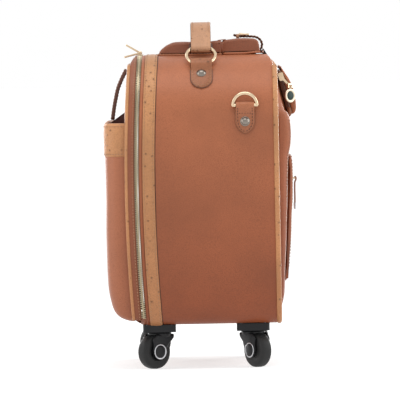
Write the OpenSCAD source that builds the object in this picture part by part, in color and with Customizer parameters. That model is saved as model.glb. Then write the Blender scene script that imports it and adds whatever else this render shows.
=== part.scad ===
// Pilot rolling flight case: a soft leather upright case on four spinner wheels.
// X runs front (-) to back (+), Y across the width, Z up from the floor. Millimetres.

/* [Case] */
// Width across the side panels
case_w = 400; // [380:1:420]
// Height of the case top above the floor
top_z = 417; // [414:1:420]
// Height of the underside above the floor
base_z = 59; // [58:1:60]
// Radius of the two top shoulders
shoulder_r = 80; // [76:1:84]
// Radius of the two bottom corners
foot_r = 25; // [20:1:28]
// Thickness of the padded leather walls
wall = 3; // [2.5:0.1:3.5]
// Back edge of the side panels
back_x = 97; // [96:0.5:98]

/* [Front] */
// Front edge of the case walls at mid-height
mouth_x = -78; // [-79:0.5:-77]
// Width of the embossed band beside the zip
band_w = 16; // [12:1:18]
// Centre of the main zip at mid-height
zip_x = -86; // [-86.5:0.5:-85.5]
// Front face of the door panel at mid-height
door_x = -101; // [-101.5:0.5:-100.5]
// Front face of the slip pocket
pocket_x = -125.2; // [-125.5:0.1:-124.9]
// Front face of the band round the pocket mouth
pocket_band_x = -129.25; // [-129.25:0.05:-129.2]
// Width of the slip pocket
pocket_w = 376; // [350:1:380]
// Height of the pocket mouth
mouth_z = 328; // [326:1:329]
// Height of the pocket band
pocket_band_h = 44; // [38:1:46]

/* [Hood and handle] */
// Width of the hood on the case top
hood_w = 224; // [212:1:226]
// Front edge of the hood
hood_front = -53; // [-54:1:-50]
// Hinge line of the hood flap
hood_hinge_x = 31; // [30:1:32]
// Back edge of the hood flap
hood_back = 81; // [80:1:82]
// Width of the carry strap
strap_w = 27; // [24:1:28]
// Centre of the carry strap, front to back
strap_x = 3; // [2:1:4]
// Outer diameter of the handle rings
ring_d = 42; // [42:1:43]
// Wire diameter of all rings
wire_d = 4; // [3.6:0.1:4]

/* [Trolley] */
// Distance between the trolley tubes
tube_pitch = 160; // [150:1:166]
// Centre of the trolley tubes, front to back
tube_x = 94.8; // [94.6:0.1:95]
// Width of the grip
grip_w = 184; // [180:1:186]

/* [Casters] */
// Wheel diameter
wheel_d = 46; // [44:1:46]
// Wheel width
wheel_w = 17; // [15:1:17]
// Distance from swivel axis to axle
trail = 10; // [8:1:11]
// Axle diameter
axle_d = 6; // [5:0.5:7]
// Front swivel axis
caster_front = -59.3; // [-60:0.1:-59]
// Back swivel axis
caster_back = 65.8; // [65:0.1:67]
// Distance across the swivel axes
caster_pitch = 320; // [300:1:324]

/* [Hidden] */
$fn = 48;

leather = "peru";
dark_leather = "sienna";
ostrich = "burlywood";
gold = "gold";
lining = "maroon";
black = "dimgray";

gap = 0.3;
hw = case_w / 2;
wire_r = wire_d / 2;
bulge_r = 2300;
bulge_z = 240;
far = case_w;
// The lowest height of anything on the door, just above its hinge line
door_foot_z = 66;
// Tab and loop leather
tab_t = 2.6;

// ---- Shared outlines ----

// Front view of the case, grown outwards by g
module case_outline(g = 0) {
    w = hw + g;
    z0 = base_z - g;
    z1 = top_z + g;
    rt = shoulder_r + g;
    rb = foot_r + g;
    translate([-w, z0 + rb]) square([2 * w, z1 - rt - z0 - rb]);
    translate([-w + rb, z0]) square([2 * (w - rb), z1 - rt - z0]);
    translate([-w + rt, z0 + rb]) square([2 * (w - rt), z1 - z0 - rb]);
    for (s = [-1, 1]) {
        translate([s * (w - rt), z1 - rt]) circle(r = rt, $fn = 128);
        translate([s * (w - rb), z0 + rb]) circle(r = rb, $fn = 64);
    }
}

// Extrudes a front-view outline from x0 to x1
module along_x(x0, x1) {
    translate([x0, 0, 0]) rotate([90, 0, 90]) linear_extrude(x1 - x0) children();
}

// Extrudes a side-view outline (X, Z) over the width w, centred on Y = y
module along_y(w, y = 0) {
    translate([0, y + w / 2, 0]) rotate([90, 0, 0]) linear_extrude(w) children();
}

// Everything behind the crowned front surface that stands at x at mid-height
module behind(x) {
    translate([x + bulge_r, 0, bulge_z]) rotate([90, 0, 0])
        cylinder(r = bulge_r, h = 2 * far, center = true, $fn = 720);
}

// How far the crowned front surface falls back at height z
function lean(z) = bulge_r - sqrt(bulge_r * bulge_r - (z - bulge_z) * (z - bulge_z));

// A wall round the case between two grown outlines
module rim(x0, x1, outer, inner) {
    along_x(x0, x1) difference() {
        case_outline(outer);
        case_outline(inner);
    }
}

// A wall round the case between two crowned front surfaces, from height z up
module crowned_rim(x0, x1, outer, inner, z = 0) {
    difference() {
        intersection() {
            rim(x0 - 1, x1 + 20, outer, inner);
            behind(x0);
        }
        behind(x1);
        if (z > 0) translate([-far, -far, -1]) cube([2 * far, 2 * far, z + 1]);
    }
}

// Points on an arc from a0 to a1, n steps
function arc(cx, cy, r, a0, a1, n) =
    [for (i = [0:n]) let (a = a0 + (a1 - a0) * i / n) [cx + r * cos(a), cy + r * sin(a)]];

function unit(v) = v / norm(v);
function left_normal(v) = [-v[1], v[0]];
function tangent(p, i) = unit(p[min(i + 1, len(p) - 1)] - p[max(i - 1, 0)]);

// A strip of thickness t along the line p
module ribbon(p, t) {
    side_a = [for (i = [0:len(p) - 1]) p[i] + left_normal(tangent(p, i)) * t / 2];
    side_b = [for (i = [len(p) - 1:-1:0]) p[i] - left_normal(tangent(p, i)) * t / 2];
    polygon(concat(side_a, side_b));
}

// A slot shape of radius r between the points a and b
module slot(a, b, r) {
    d = b - a;
    translate(a) circle(r = r);
    translate(b) circle(r = r);
    translate(a) rotate(atan2(d[1], d[0])) translate([0, -r]) square([norm(d), 2 * r]);
}

module rounded_square(w, h, r) {
    translate([-w / 2 + r, -h / 2]) square([w - 2 * r, h]);
    translate([-w / 2, -h / 2 + r]) square([w, h - 2 * r]);
    for (sx = [-1, 1], sy = [-1, 1])
        translate([sx * (w / 2 - r), sy * (h / 2 - r)]) circle(r = r);
}

// Mirrored copies on both sides of the case
module both_sides() {
    children();
    mirror([0, 1, 0]) children();
}

// ---- Openings and cut-outs ----

access_front = 37;
access_back = 76;
access_w = 196;

bezel_front = 87.2;
bezel_back = 102.4;
bezel_w = 196;
bezel_wall = 1.2;
bezel_floor_z = 386;
bezel_floor_t = 4;
// The sloped top edges, back and front, each from its top to its foot
back_slope = [[91.4, top_z + 1.2], [103, 399.5]];
front_slope = [[-84.6, top_z + 1.2], [-96.4, 401]];
// Height of the strip that closes each sloped edge
slope_t = 5;

module top_access() {
    translate([access_front, -access_w / 2, top_z - 20])
        cube([access_back - access_front, access_w, 40]);
}

module bezel_space(grow = 0) {
    translate([bezel_front - grow, -bezel_w / 2 - grow, bezel_floor_z - grow])
        cube([bezel_back - bezel_front + 2 * grow, bezel_w + 2 * grow, 60]);
}

// Everything above the line edge[0] to edge[1], lowered by drop
module above(edge, drop = 0) {
    run = edge[1] - edge[0];
    translate([0, 0, -drop]) along_y(2 * far) polygon([
        edge[0] - run / 2, edge[1] + 3 * run, edge[1] + [3 * run[0], 100],
        edge[0] + [-run[0] / 2, 80]]);
}

// A strip under a sloped edge, as wide as the case, between x0 and x1
module slope_strip(edge, x0, x1) {
    difference() {
        intersection() {
            along_x(x0, x1) case_outline(0.5);
            above(edge, slope_t);
        }
        above(edge);
    }
}

// ---- Case ----

caster_spots = [[caster_front, -1], [caster_front, 1], [caster_back, -1], [caster_back, 1]];
screw_inset = 16;
screw_r = 2;

module at_casters() {
    for (c = caster_spots) translate([c[0], c[1] * caster_pitch / 2, 0]) children();
}

module at_screws() {
    at_casters() for (sx = [-1, 1], sy = [-1, 1])
        translate([sx * screw_inset, sy * screw_inset, 0]) children();
}

module body_shell() {
    color(leather) difference() {
        intersection() {
            rim(mouth_x - 1, back_x, 0, -wall);
            behind(mouth_x);
        }
        top_access();
        bezel_space();
        above(back_slope);
        at_screws() translate([0, 0, base_z - 5]) cylinder(r = screw_r + 0.1, h = 12);
    }
}

base_board_t = 2.6;
base_board_z = base_z + wall;

module base_board() {
    color(black) difference() {
        translate([-66, -172, base_board_z]) cube([150, 344, base_board_t]);
        at_screws() translate([0, 0, base_z]) cylinder(r = screw_r + 0.1, h = 12);
    }
}

skid_w = 14;
skid_l = 120;
skid_t = 2;

module base_skid() {
    color(dark_leather) translate([1, 0, base_z - skid_t]) linear_extrude(skid_t)
        rounded_square(skid_w, skid_l, 3);
}

lining_front = -66;
lining_back = 86.8;
lining_t = 1.2;
lining_foot = base_board_z + base_board_t;

module body_lining() {
    color(lining) difference() {
        union() {
            rim(lining_front, lining_back, -wall - 0.1, -wall - 0.1 - lining_t);
            along_x(lining_back - lining_t, lining_back) case_outline(-wall - 0.1);
        }
        top_access();
        bezel_space();
        translate([-90, -far, 0]) cube([200, 2 * far, lining_foot + 0.1]);
    }
}

module mouth_frame() {
    color(black) crowned_rim(mouth_x + 0.4, mouth_x + 5, -wall - 0.05, -wall - 3.2);
}

module ostrich_band() {
    color(ostrich) difference() {
        crowned_rim(mouth_x, mouth_x + band_w, 1.2, 0);
        at_casters() translate([0, 0, base_z - 10]) linear_extrude(10)
            rounded_square(housing_w + gap, housing_w + gap, 6);
    }
}

tape_outer = -0.6;
tape_inner = -1.8;
chain_outer = 0.6;
chain_inner = -3;
chain_half = 3;
zip_foot_z = 68;

module body_zip_tape() {
    color(dark_leather)
        crowned_rim(zip_x + chain_half, mouth_x, tape_outer, tape_inner, zip_foot_z);
}

module body_zip_chain() {
    color(gold)
        crowned_rim(zip_x + gap / 2, zip_x + chain_half, chain_outer, chain_inner, zip_foot_z);
}

board_front = 102.6;
board_back = 104.4;

module back_board() {
    color(dark_leather) difference() {
        along_x(board_front, board_back) case_outline(-wall - 0.6);
        translate([board_front - 1, -bezel_w / 2, bezel_floor_z - 2]) cube([8, bezel_w, 60]);
        above(back_slope, slope_t + 0.1);
    }
}

module back_piping() {
    color(ostrich) difference() {
        union() {
            rim(back_x, board_back, 1, -wall - 0.6);
            difference() {
                slope_strip(back_slope, back_slope[0][0] - 4, board_back);
                rim(mouth_x, back_x, 1, -wall - 0.05);
            }
        }
        bezel_space(0.05);
        above(back_slope);
    }
}

// ---- Back pockets ----

hump_w = 324;
hump_inset = 22;
// Side view of the padded back, outer face
hump_profile = [
    [board_back, 80], [106.4, 88], [108.8, 110], [116.8, 281], [120, 295], [121.2, 308],
    [120.6, 326], [119, 336], [board_back + 0.6, 391], [board_back, 391]];
// The pocket space under the visor
hump_space = [
    [board_back + 2, 190], [109.4, 190], [114, 281], [117.2, 296], [118.4, 308], [117.8, 326],
    [116, 336], [125, 340], [board_back + 12, 391], [board_back + 2, 391]];
hump_space_w = 236;
// What is cut from the padded back's ends, beside the visor's zip
hump_end = [[140, 338], [113.5, 338], [100, 391.2], [100, 400], [140, 400]];
hump_end_y = -150;

module back_pocket_body() {
    color(leather) difference() {
        intersection() {
            along_y(hump_w) polygon(hump_profile);
            along_x(board_back, 140) case_outline(-hump_inset);
        }
        along_y(hump_space_w) polygon(hump_space);
        both_sides() along_y(2 * (-hump_end_y - visor_w / 2) + 0.4, hump_end_y) polygon(hump_end);
    }
}

lower_pocket_w = 260;
// Outer face of the lower pocket, from its foot up; its inner face lies on the padded back
lower_pocket_face = [
    [110, 112], [112.6, 116], [116, 136], [117.8, 156], [119.3, 183], [119.8, 203],
    [121.7, 223], [122.2, 249], [122.5, 267], [121.8, 281]];

lower_pocket_seat = [[116.85, 281], [108.95, 111.5]];

module lower_back_pocket() {
    color(leather) along_y(lower_pocket_w) polygon(concat(lower_pocket_face, lower_pocket_seat));
}

pocket_zip_z = 249;
pocket_zip_w = 210;
pocket_zip_x = 121.9;

module lower_pocket_zip() {
    color(gold) difference() {
        translate([pocket_zip_x - 1, -pocket_zip_w / 2, pocket_zip_z - 3])
            cube([1.9, pocket_zip_w, 6]);
        along_y(lower_pocket_w + 2) polygon(concat(lower_pocket_face, lower_pocket_seat));
    }
}

visor_w = 250;
visor_wall = 3;
visor_hinge = [107.5, 398.5];
// Outer face of the visor, from its hinge down to its lip
visor_face = [
    [107.3, 401.8], [115, 391.4], [121.6, 381], [125.6, 371], [128, 361], [129.1, 350],
    [129.25, 342], [126.8, 337.5], [123, 335.5]];
// The line that the visor closes onto
visor_seat = [[122.4, 338.5], [108, 395]];
visor_space = [
    [109.6, 394.2], [113, 389], [119, 379], [122.7, 370], [125.1, 360], [126.1, 350],
    [125.9, 343], [118, 338]];

module visor_flap() {
    color(leather) difference() {
        along_y(visor_w) polygon(concat(visor_face, visor_seat, [visor_hinge]));
        along_y(visor_w - 2 * visor_wall) polygon(concat(visor_space, [[104, 394.2]]));
    }
}

tape_line = [[106.2, 394.6], [120.6, 338.2]];

module visor_zip_tape() {
    run = tape_line[1] - tape_line[0];
    color(black) difference() {
        along_y(visor_w + 2) ribbon(tape_line, 2.4);
        along_y(visor_w - 14) ribbon([tape_line[0] - run, tape_line[1] - unit(run) * 6], 8);
        along_y(hump_w + 2) polygon(hump_profile);
    }
}

// ---- Hood ----

// Side view of the fixed hood: front corner, crown, bridge
hood_profile = [
    [hood_front, top_z + 0.05], [hood_front - 0.6, 421], [-50, 424.5], [-44.5, 428.4],
    [-35, 434.4], [-23, 435], [20, 435.5], [hood_hinge_x, 436.2], [hood_hinge_x, top_z + 0.05]];

module hood_base() {
    color(leather) along_y(hood_w) polygon(hood_profile);
}

flap_front = hood_hinge_x + gap + 0.1;
hood_flap_foot = top_z + 1.6;
// Outer side view of the flap, then the hollow under it
flap_profile = [
    [flap_front, hood_flap_foot], [flap_front, 436.2], [54, 438.8], [68, 438.6], [77, 437.8],
    [hood_back, 434.5], [hood_back + 0.8, 426], [hood_back + 1, 421.6], [hood_back + 5, 421],
    [hood_back + 5, 419.4], [hood_back, hood_flap_foot]];
flap_space = [
    [flap_front + 3, hood_flap_foot - 1], [flap_front + 3, 433], [54, 435.4], [68, 435.2],
    [76, 434.6], [hood_back - 3, 432], [hood_back - 3, hood_flap_foot - 1]];

module hood_flap() {
    color(leather) difference() {
        along_y(hood_w) polygon(flap_profile);
        along_y(hood_w - 6) polygon(flap_space);
    }
}

belt_w = 22;
belt_t = 2.4;
belt_path = concat(
    [[48, 443.4], [53, 441.4], [62, 441.2], [74, 440.6], [79, 439.4], [82.6, 437]],
    arc(78.8, 430.4, 7.6, 40, -34, 6));

module belt_strap() {
    color(ostrich) along_y(belt_w) ribbon(belt_path, belt_t);
}

buckle_x = 62;
buckle_z = 443.8;

module belt_buckle() {
    color(gold) translate([buckle_x, 0, buckle_z - 1.2]) linear_extrude(2.6) difference() {
        rounded_square(14, belt_w + 9, 3);
        rounded_square(9, belt_w + 3, 1.5);
    }
    color(gold) translate([buckle_x - 1, -belt_w / 2 - 3, buckle_z - 1.1]) cube([2, belt_w + 6, 2.2]);
}

// ---- Carry handle ----

shoulder_c = [-(hw - shoulder_r), top_z - shoulder_r];
ring_r = (ring_d - wire_d) / 2;
// Tilt of the handle rings from upright, leaning inwards
ring_tilt = 50.8;
ring_dir = [sin(ring_tilt), cos(ring_tilt)];
// Foot of the near ring's wire, on the shoulder
ring_foot = shoulder_c + (shoulder_r + 5.9) * [-cos(52.4), sin(52.4)];
ring_centre = ring_foot + ring_r * ring_dir;
ring_head = ring_foot + 2 * ring_r * ring_dir;
tab_w = 28.5;
tab_foot_angle = 37;
tab_head_angle = 52;
// The fold round the ring is narrower than the tongue by this much on each side
fold_inset = 0.5;

// Turns a shape made round Z so that its angle runs from the side panel up to the top
module on_shoulder() {
    translate([strap_x, shoulder_c[0], shoulder_c[1]]) rotate([90, 0, -90]) children();
}

module shoulder_arc(a0, a1) {
    rotate([0, 0, a0]) rotate_extrude(angle = a1 - a0, $fn = 256)
        translate([shoulder_r + 0.05, -tab_w / 2]) square([tab_t, tab_w]);
}

// A leather tongue on the near shoulder, round at its foot, that folds round the ring
module shoulder_tab() {
    on_shoulder() intersection() {
        shoulder_arc(tab_foot_angle - 14, tab_head_angle);
        rotate([0, 0, tab_foot_angle]) rotate([0, 90, 0]) {
            cylinder(r = tab_w / 2 + 0.6, h = far, $fn = 128);
            translate([-tab_w, 0, 0]) cube([2 * tab_w, tab_w, far]);
        }
    }
    along_x(strap_x - tab_w / 2 + fold_inset, strap_x + tab_w / 2 - fold_inset) difference() {
        slot(ring_foot, ring_foot + 6.5 * ring_dir, 4.9);
        slot(ring_foot, ring_foot + 6.5 * ring_dir, 2.6);
    }
}

module handle_tabs() {
    color(ostrich) both_sides() shoulder_tab();
}

module ring_at(p, tilt) {
    translate([strap_x, p[0], p[1]]) rotate([90 - tilt, 0, 0])
        rotate_extrude($fn = 96) translate([ring_r, 0]) circle(r = wire_r, $fn = 32);
}

module handle_rings() {
    color(gold) both_sides() ring_at(ring_centre, ring_tilt);
}

// Near half of the strap's centre line, from the ring up to the middle
strap_top = 459;
strap_t = 5;
// How far the strap's loop reaches down inside its ring
loop_drop = 6.6;
strap_start = ring_head + 5.6 * [0.64, 0.77];
strap_half = concat(
    [strap_start, strap_start + [9, 10.8]],
    arc(-101, strap_top - 23, 22, 133, 94, 5),
    [[-60, strap_top - 0.3], [0, strap_top]]);

module carry_strap() {
    color(ostrich) {
        along_x(strap_x - strap_w / 2, strap_x + strap_w / 2) {
            ribbon(concat(strap_half, [for (i = [len(strap_half) - 2:-1:0])
                [-strap_half[i][0], strap_half[i][1]]]), strap_t);
            for (s = [-1, 1]) scale([s, 1]) difference() {
                slot(ring_head + 0.8 * ring_dir, ring_head - loop_drop * ring_dir, 6.2);
                slot(ring_head + 0.8 * ring_dir, ring_head - loop_drop * ring_dir, 4.2);
            }
        }
    }
}

// ---- Side rings ----

side_x = 60;
side_tab_w = 24.5;
d_bar_z = 350;
d_bar_y = -hw - 5;
d_ring_r = 15.75;
side_tab_foot = 313;

module side_tab() {
    translate([side_x, -hw - 0.05, 0]) rotate([90, 0, 0]) linear_extrude(tab_t) {
        translate([-side_tab_w / 2, side_tab_foot + side_tab_w / 2])
            square([side_tab_w, d_bar_z - side_tab_foot - side_tab_w / 2 - 1]);
        translate([0, side_tab_foot + side_tab_w / 2]) circle(d = side_tab_w);
    }
    along_x(side_x - side_tab_w / 2, side_x + side_tab_w / 2) difference() {
        translate([d_bar_y, d_bar_z]) circle(r = 4.7);
        translate([d_bar_y, d_bar_z]) circle(r = wire_r + 0.08);
    }
}

module side_tabs() {
    color(ostrich) both_sides() side_tab();
}

module d_ring() {
    translate([side_x, d_bar_y, d_bar_z]) {
        rotate([90, 0, 0]) rotate_extrude(angle = 180, $fn = 96)
            translate([d_ring_r, 0]) circle(r = wire_r, $fn = 32);
        translate([-d_ring_r, 0, 0]) rotate([0, 90, 0]) cylinder(r = wire_r, h = 2 * d_ring_r);
        for (s = [-1, 1]) translate([s * d_ring_r, 0, 0]) sphere(r = wire_r);
    }
}

module near_ring() {
    color(gold) d_ring();
}

module far_ring() {
    color(gold) mirror([0, 1, 0]) d_ring();
}

rivet_r = 6.75;
side_rivet_z = 328.5;
handle_rivet_angle = 43;

// A domed rivet head standing on z = 0
module rivet_head() {
    rotate_extrude() intersection() {
        translate([0, rivet_r * 0.42 - rivet_r * 1.4]) circle(r = rivet_r * 1.4, $fn = 96);
        square([rivet_r, rivet_r]);
    }
}

module tab_rivets() {
    color(gold) both_sides() {
        translate([side_x, -hw - 0.05 - tab_t, side_rivet_z]) rotate([90, 0, 0]) rivet_head();
        translate([strap_x, shoulder_c[0], shoulder_c[1]]) rotate([90 - handle_rivet_angle, 0, 0])
            translate([0, 0, shoulder_r + tab_t + 0.05]) rivet_head();
    }
}

// ---- Door ----

gusset_back = -90.5;
piping_w = 4;

module door_plate(x, t, g) {
    difference() {
        intersection() {
            along_x(x - 1, x + 30) case_outline(g);
            behind(x);
        }
        behind(x + t);
        translate([-far, -far, -1]) cube([2 * far, 2 * far, door_foot_z + 1]);
    }
}

module door_panel() {
    color(leather) difference() {
        door_plate(door_x, 2.5, -4);
        above(front_slope, slope_t + 0.1);
    }
}

module door_gusset() {
    color(leather) {
        difference() {
            crowned_rim(door_x + piping_w - 0.5, gusset_back, 0, -2.5, door_foot_z);
            above(front_slope, slope_t);
        }
        difference() {
            intersection() {
                slope_strip(front_slope, -110, gusset_back + lean(top_z));
                behind(door_x - 0.5);
            }
            behind(gusset_back);
        }
    }
}

module door_piping() {
    color(ostrich) difference() {
        crowned_rim(door_x - 0.5, door_x + piping_w - 0.5, 1, -4, door_foot_z);
        above(front_slope, slope_t);
    }
}

module door_zip_tape() {
    color(dark_leather)
        crowned_rim(gusset_back, zip_x - chain_half, tape_outer, tape_inner, zip_foot_z);
}

module door_zip_chain() {
    color(gold)
        crowned_rim(zip_x - chain_half, zip_x - gap / 2, chain_outer, chain_inner, zip_foot_z);
}

// Side view of the slip pocket from its mouth round to its foot, grown forwards by g
pocket_t = 2.2;
function pocket_profile(g, head) = concat(
    [[-60, head], [pocket_x - g, head], [pocket_x - g, 132]],
    arc(pocket_x - g + 42, 116, 42, 180, 262, 8),
    [[-60, 66.6 - g]]);

// Plan of the pocket with round front corners
module pocket_plan(front, w, r) {
    translate([front + r, -w / 2]) square([100, w]);
    translate([front, -w / 2 + r]) square([100, w - 2 * r]);
    for (s = [-1, 1]) translate([front + r, s * (w / 2 - r)]) circle(r = r);
}

module pocket_solid(g, head) {
    intersection() {
        along_y(case_w) polygon(pocket_profile(g, head));
        linear_extrude(500) pocket_plan(pocket_x - g, pocket_w + 2 * g, 22 + g);
        along_x(-150, -60) case_outline(-6 + g);
    }
}

module front_pocket() {
    color(leather) difference() {
        pocket_solid(0, mouth_z - 1);
        pocket_solid(-pocket_t, mouth_z + 20);
        behind(door_x - 0.05);
        translate([-far, -far, -1]) cube([2 * far, 2 * far, door_foot_z + 1]);
    }
}

module pocket_band() {
    color(ostrich) difference() {
        translate([0, 0, mouth_z - pocket_band_h]) linear_extrude(pocket_band_h) difference() {
            pocket_plan(pocket_band_x, pocket_w + 3, 25);
            pocket_plan(pocket_x, pocket_w, 22);
        }
        behind(door_x - 0.05);
    }
}

gusset_y = pocket_w / 2 - 18;

module pocket_gussets() {
    color(lining) difference() {
        both_sides() along_y(1.4, -gusset_y)
            polygon([[-122, mouth_z - 2], [-90, 346], [-90, 296], [-122, 296]]);
        behind(door_x - 0.05);
    }
}

closure_w = 36;
closure_path = [
    [-98.6, 399], [-104.8, 387], [-110.4, 373.5], [-113.6, 360], [-116.2, 346.7], [-118.6, 331]];

module closure_strap() {
    color(dark_leather) along_y(closure_w) ribbon(closure_path, 4);
}

// ---- Trolley ----

tube_h = 19;
outer_t = 10.8;
stage_gap = 0.15;
tube_wall = 0.9;
outer_foot = 72;
outer_head = bezel_floor_z;

// Plan of a tube: t thick along X, h wide along Y
module tube_plan(t, h) {
    for (s = [-1, 1]) translate([0, s * (h - t) / 2]) circle(d = t);
    square([t, h - t], center = true);
}

module tube(t, h, z0, z1) {
    translate([tube_x, 0, z0]) linear_extrude(z1 - z0) difference() {
        tube_plan(t, h);
        tube_plan(t - 2 * tube_wall, h - 2 * tube_wall);
    }
}

module at_tubes() {
    for (s = [-1, 1]) translate([0, s * tube_pitch / 2, 0]) children();
}

middle_t = outer_t - 2 * tube_wall - 2 * stage_gap;
middle_h = tube_h - 2 * tube_wall - 2 * stage_gap;
inner_t = middle_t - 2 * tube_wall - 2 * stage_gap;
inner_h = middle_h - 2 * tube_wall - 2 * stage_gap;

module trolley_outer_tubes() {
    color("silver") at_tubes() tube(outer_t, tube_h, outer_foot, outer_head);
}

module trolley_middle_tubes() {
    color("silver") at_tubes() tube(middle_t, middle_h, outer_foot + 3, bezel_floor_z + 5);
}

module trolley_inner_tubes() {
    color("silver") at_tubes() tube(inner_t, inner_h, outer_foot + 6, grip_foot + 2);
}

grip_foot = bezel_floor_z + bezel_floor_t + 2;
grip_front = bezel_front + bezel_wall + gap;
grip_back = bezel_back - bezel_wall - gap;

module trolley_bezel() {
    color(black) difference() {
        bezel_space();
        translate([bezel_front + bezel_wall, -bezel_w / 2 + 2, bezel_floor_z + bezel_floor_t])
            cube([bezel_back - bezel_front - 2 * bezel_wall, bezel_w - 4, 60]);
        at_tubes() translate([tube_x, 0, bezel_floor_z - 1]) linear_extrude(10)
            tube_plan(middle_t + 2 * gap, middle_h + 2 * gap);
        above(back_slope, 0.6);
    }
}

button_w = 26;
button_t = 5.4;
button_x = 94;
button_foot = 399;
button_drop = 2.5;

module trolley_grip() {
    color(black) difference() {
        translate([grip_front, -grip_w / 2, grip_foot])
            cube([grip_back - grip_front, grip_w, 60]);
        above(back_slope, 1.6);
        at_tubes() translate([tube_x, 0, grip_foot - 1]) linear_extrude(3)
            tube_plan(inner_t, inner_h);
        translate([button_x - button_t / 2 - gap, -button_w / 2 - gap, button_foot - button_drop - gap])
            cube([button_t + 2 * gap, button_w + 2 * gap, 40]);
    }
}

module trolley_button() {
    color("silver") difference() {
        translate([button_x - button_t / 2, -button_w / 2, button_foot])
            cube([button_t, button_w, 20]);
        above(back_slope, 0.9);
    }
}

// ---- Zip sliders ----

slider_l = 11;
slider_w = 8;
chain_top = top_z + chain_outer;
slider_x = zip_x + lean(top_z);
slider_y = 8;
pull_hinge_z = chain_top + 3.8;

// A slider on the near half of the top run, with a bail for its pull
module top_slider() {
    translate([slider_x - slider_w / 2, -slider_y - slider_l / 2, chain_top + gap])
        cube([slider_w, slider_l, 1.4]);
    translate([slider_x, -slider_y - slider_l / 2 + 1, pull_hinge_z])
        rotate([-90, 0, 0]) cylinder(r = 0.9, h = slider_l - 2);
    for (s = [-1, 1])
        translate([slider_x - 0.9, -slider_y + s * (slider_l / 2 - 0.9) - 0.9, chain_top + gap])
            cube([1.8, 1.8, pull_hinge_z - chain_top + 0.5]);
}

module near_slider() {
    color(gold) top_slider();
}

module far_slider() {
    color(gold) mirror([0, 1, 0]) top_slider();
}

pull_l = 22;
pull_w = 5;

// A flat pull with an eye round the bail; turn swings it from straight forward
module top_pull(turn) {
    translate([slider_x, -slider_y, pull_hinge_z]) rotate([0, turn, 0])
        rotate([90, 0, 0]) translate([0, 0, -pull_w / 2]) linear_extrude(pull_w) difference() {
            union() {
                circle(r = 2);
                translate([-pull_l, -0.8]) square([pull_l, 1.6]);
            }
            circle(r = 0.96);
        }
}

module near_pull() {
    color(gold) top_pull(-14);
}

module far_pull() {
    color(gold) mirror([0, 1, 0]) top_pull(30);
}

// The visor's slider rides on the near side of the visor gap
visor_side_y = -visor_w / 2 - 1;
visor_slider_at = [109.8, 386.5];
visor_run = unit(tape_line[1] - tape_line[0]);
medal_r = 9.5;
medal_at = [121.3, visor_side_y - 9.4, 361];
medal_turn = 43;
medal_eye_z = medal_at[2] + medal_r + 2;
medal_eye_w = 4.6;

// Turns a shape drawn facing the near side to face the near back corner, at height z
module facing_corner(z) {
    translate([medal_at[0], medal_at[1], z]) rotate([0, 0, medal_turn]) children();
}

module visor_slider() {
    color(gold) {
        translate([visor_slider_at[0], visor_side_y - 0.6, visor_slider_at[1]]) rotate([90, 0, 0])
            rotate(atan2(visor_run[1], visor_run[0])) linear_extrude(3) rounded_square(11, 7, 2);
        along_y(2.6, visor_side_y - 2.3)
            ribbon([visor_slider_at, medal_link_at], 3);
        translate([medal_link_at[0] - 1.5, medal_at[1] + 0.5, medal_eye_z + 2.8])
            cube([3, visor_side_y - 1.2 - medal_at[1], 2]);
        facing_corner(medal_eye_z) {
            translate([-4.2, -1.2, 2.8]) cube([8.4, 2.4, 2]);
            for (s = [-1, 1]) translate([s * 3.4 - 0.8, -1.2, -1.2]) cube([1.6, 2.4, 5]);
            translate([-3.4, 0, 0]) rotate([0, 90, 0]) cylinder(r = 1, h = 6.8);
        }
    }
}

medal_link_at = [medal_at[0] - 2.4, medal_eye_z + 3.8];

module visor_medallion() {
    color(gold) facing_corner(medal_eye_z) difference() {
        union() {
            translate([0, 1.4, medal_at[2] - medal_eye_z]) rotate([90, 0, 0])
                cylinder(r = medal_r, h = 2.8, $fn = 96);
            translate([-medal_eye_w / 2, 0, 0]) rotate([0, 90, 0])
                cylinder(r = 2.2, h = medal_eye_w);
            translate([-medal_eye_w / 2, -1, -3]) cube([medal_eye_w, 2, 3]);
        }
        translate([-10, 0, 0]) rotate([0, 90, 0]) cylinder(r = 1.06, h = 20);
    }
}

pull_bail_x = pocket_zip_x + 4.9;
pull_bail_z = pocket_zip_z - 1;

module pocket_slider() {
    color(gold) {
        translate([pocket_zip_x + 1.2, -5.5, pocket_zip_z - 4]) cube([1.4, 11, 8]);
        for (s = [-1, 1]) translate([pocket_zip_x + 1.2, s * 4 - 1, pull_bail_z - 1])
            cube([pull_bail_x - pocket_zip_x - 0.4, 2, 2]);
        translate([pull_bail_x, -5, pull_bail_z]) rotate([-90, 0, 0]) cylinder(r = 0.9, h = 10);
    }
}

module pocket_pull() {
    color(dark_leather) translate([pull_bail_x, 2.9, pull_bail_z]) rotate([90, 0, 0])
        linear_extrude(5.8) difference() {
            union() {
                circle(r = 2);
                translate([-1.3, -42]) square([2.6, 42]);
            }
            circle(r = 0.96);
        }
}

// ---- Casters ----

housing_w = 44;
housing_foot = 49;
stem_r = 4;
stem_head = 57;
crown_foot = 46.5;
axle_z = wheel_d / 2;
fork_in = wheel_w / 2 + 0.7;
fork_t = 4.6;

module caster_housings() {
    color(black) at_casters() difference() {
        translate([0, 0, housing_foot]) linear_extrude(base_z - housing_foot)
            rounded_square(housing_w, housing_w, 6);
        translate([0, 0, housing_foot - 1]) cylinder(r = stem_r + 0.06, h = stem_head - housing_foot + 2);
        for (sx = [-1, 1], sy = [-1, 1]) translate([sx * screw_inset, sy * screw_inset, 0]) {
            translate([0, 0, housing_foot - 1]) cylinder(r = screw_r + 0.1, h = 20);
            translate([0, 0, housing_foot - 1]) cylinder(r = screw_r + 2, h = 4);
        }
    }
}

module caster_screws() {
    color("silver") at_screws() {
        translate([0, 0, housing_foot + 0.6]) cylinder(r = screw_r + 1.8, h = 2.4);
        translate([0, 0, housing_foot + 1]) cylinder(r = screw_r, h = lining_foot - housing_foot - 1);
    }
}

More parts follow.
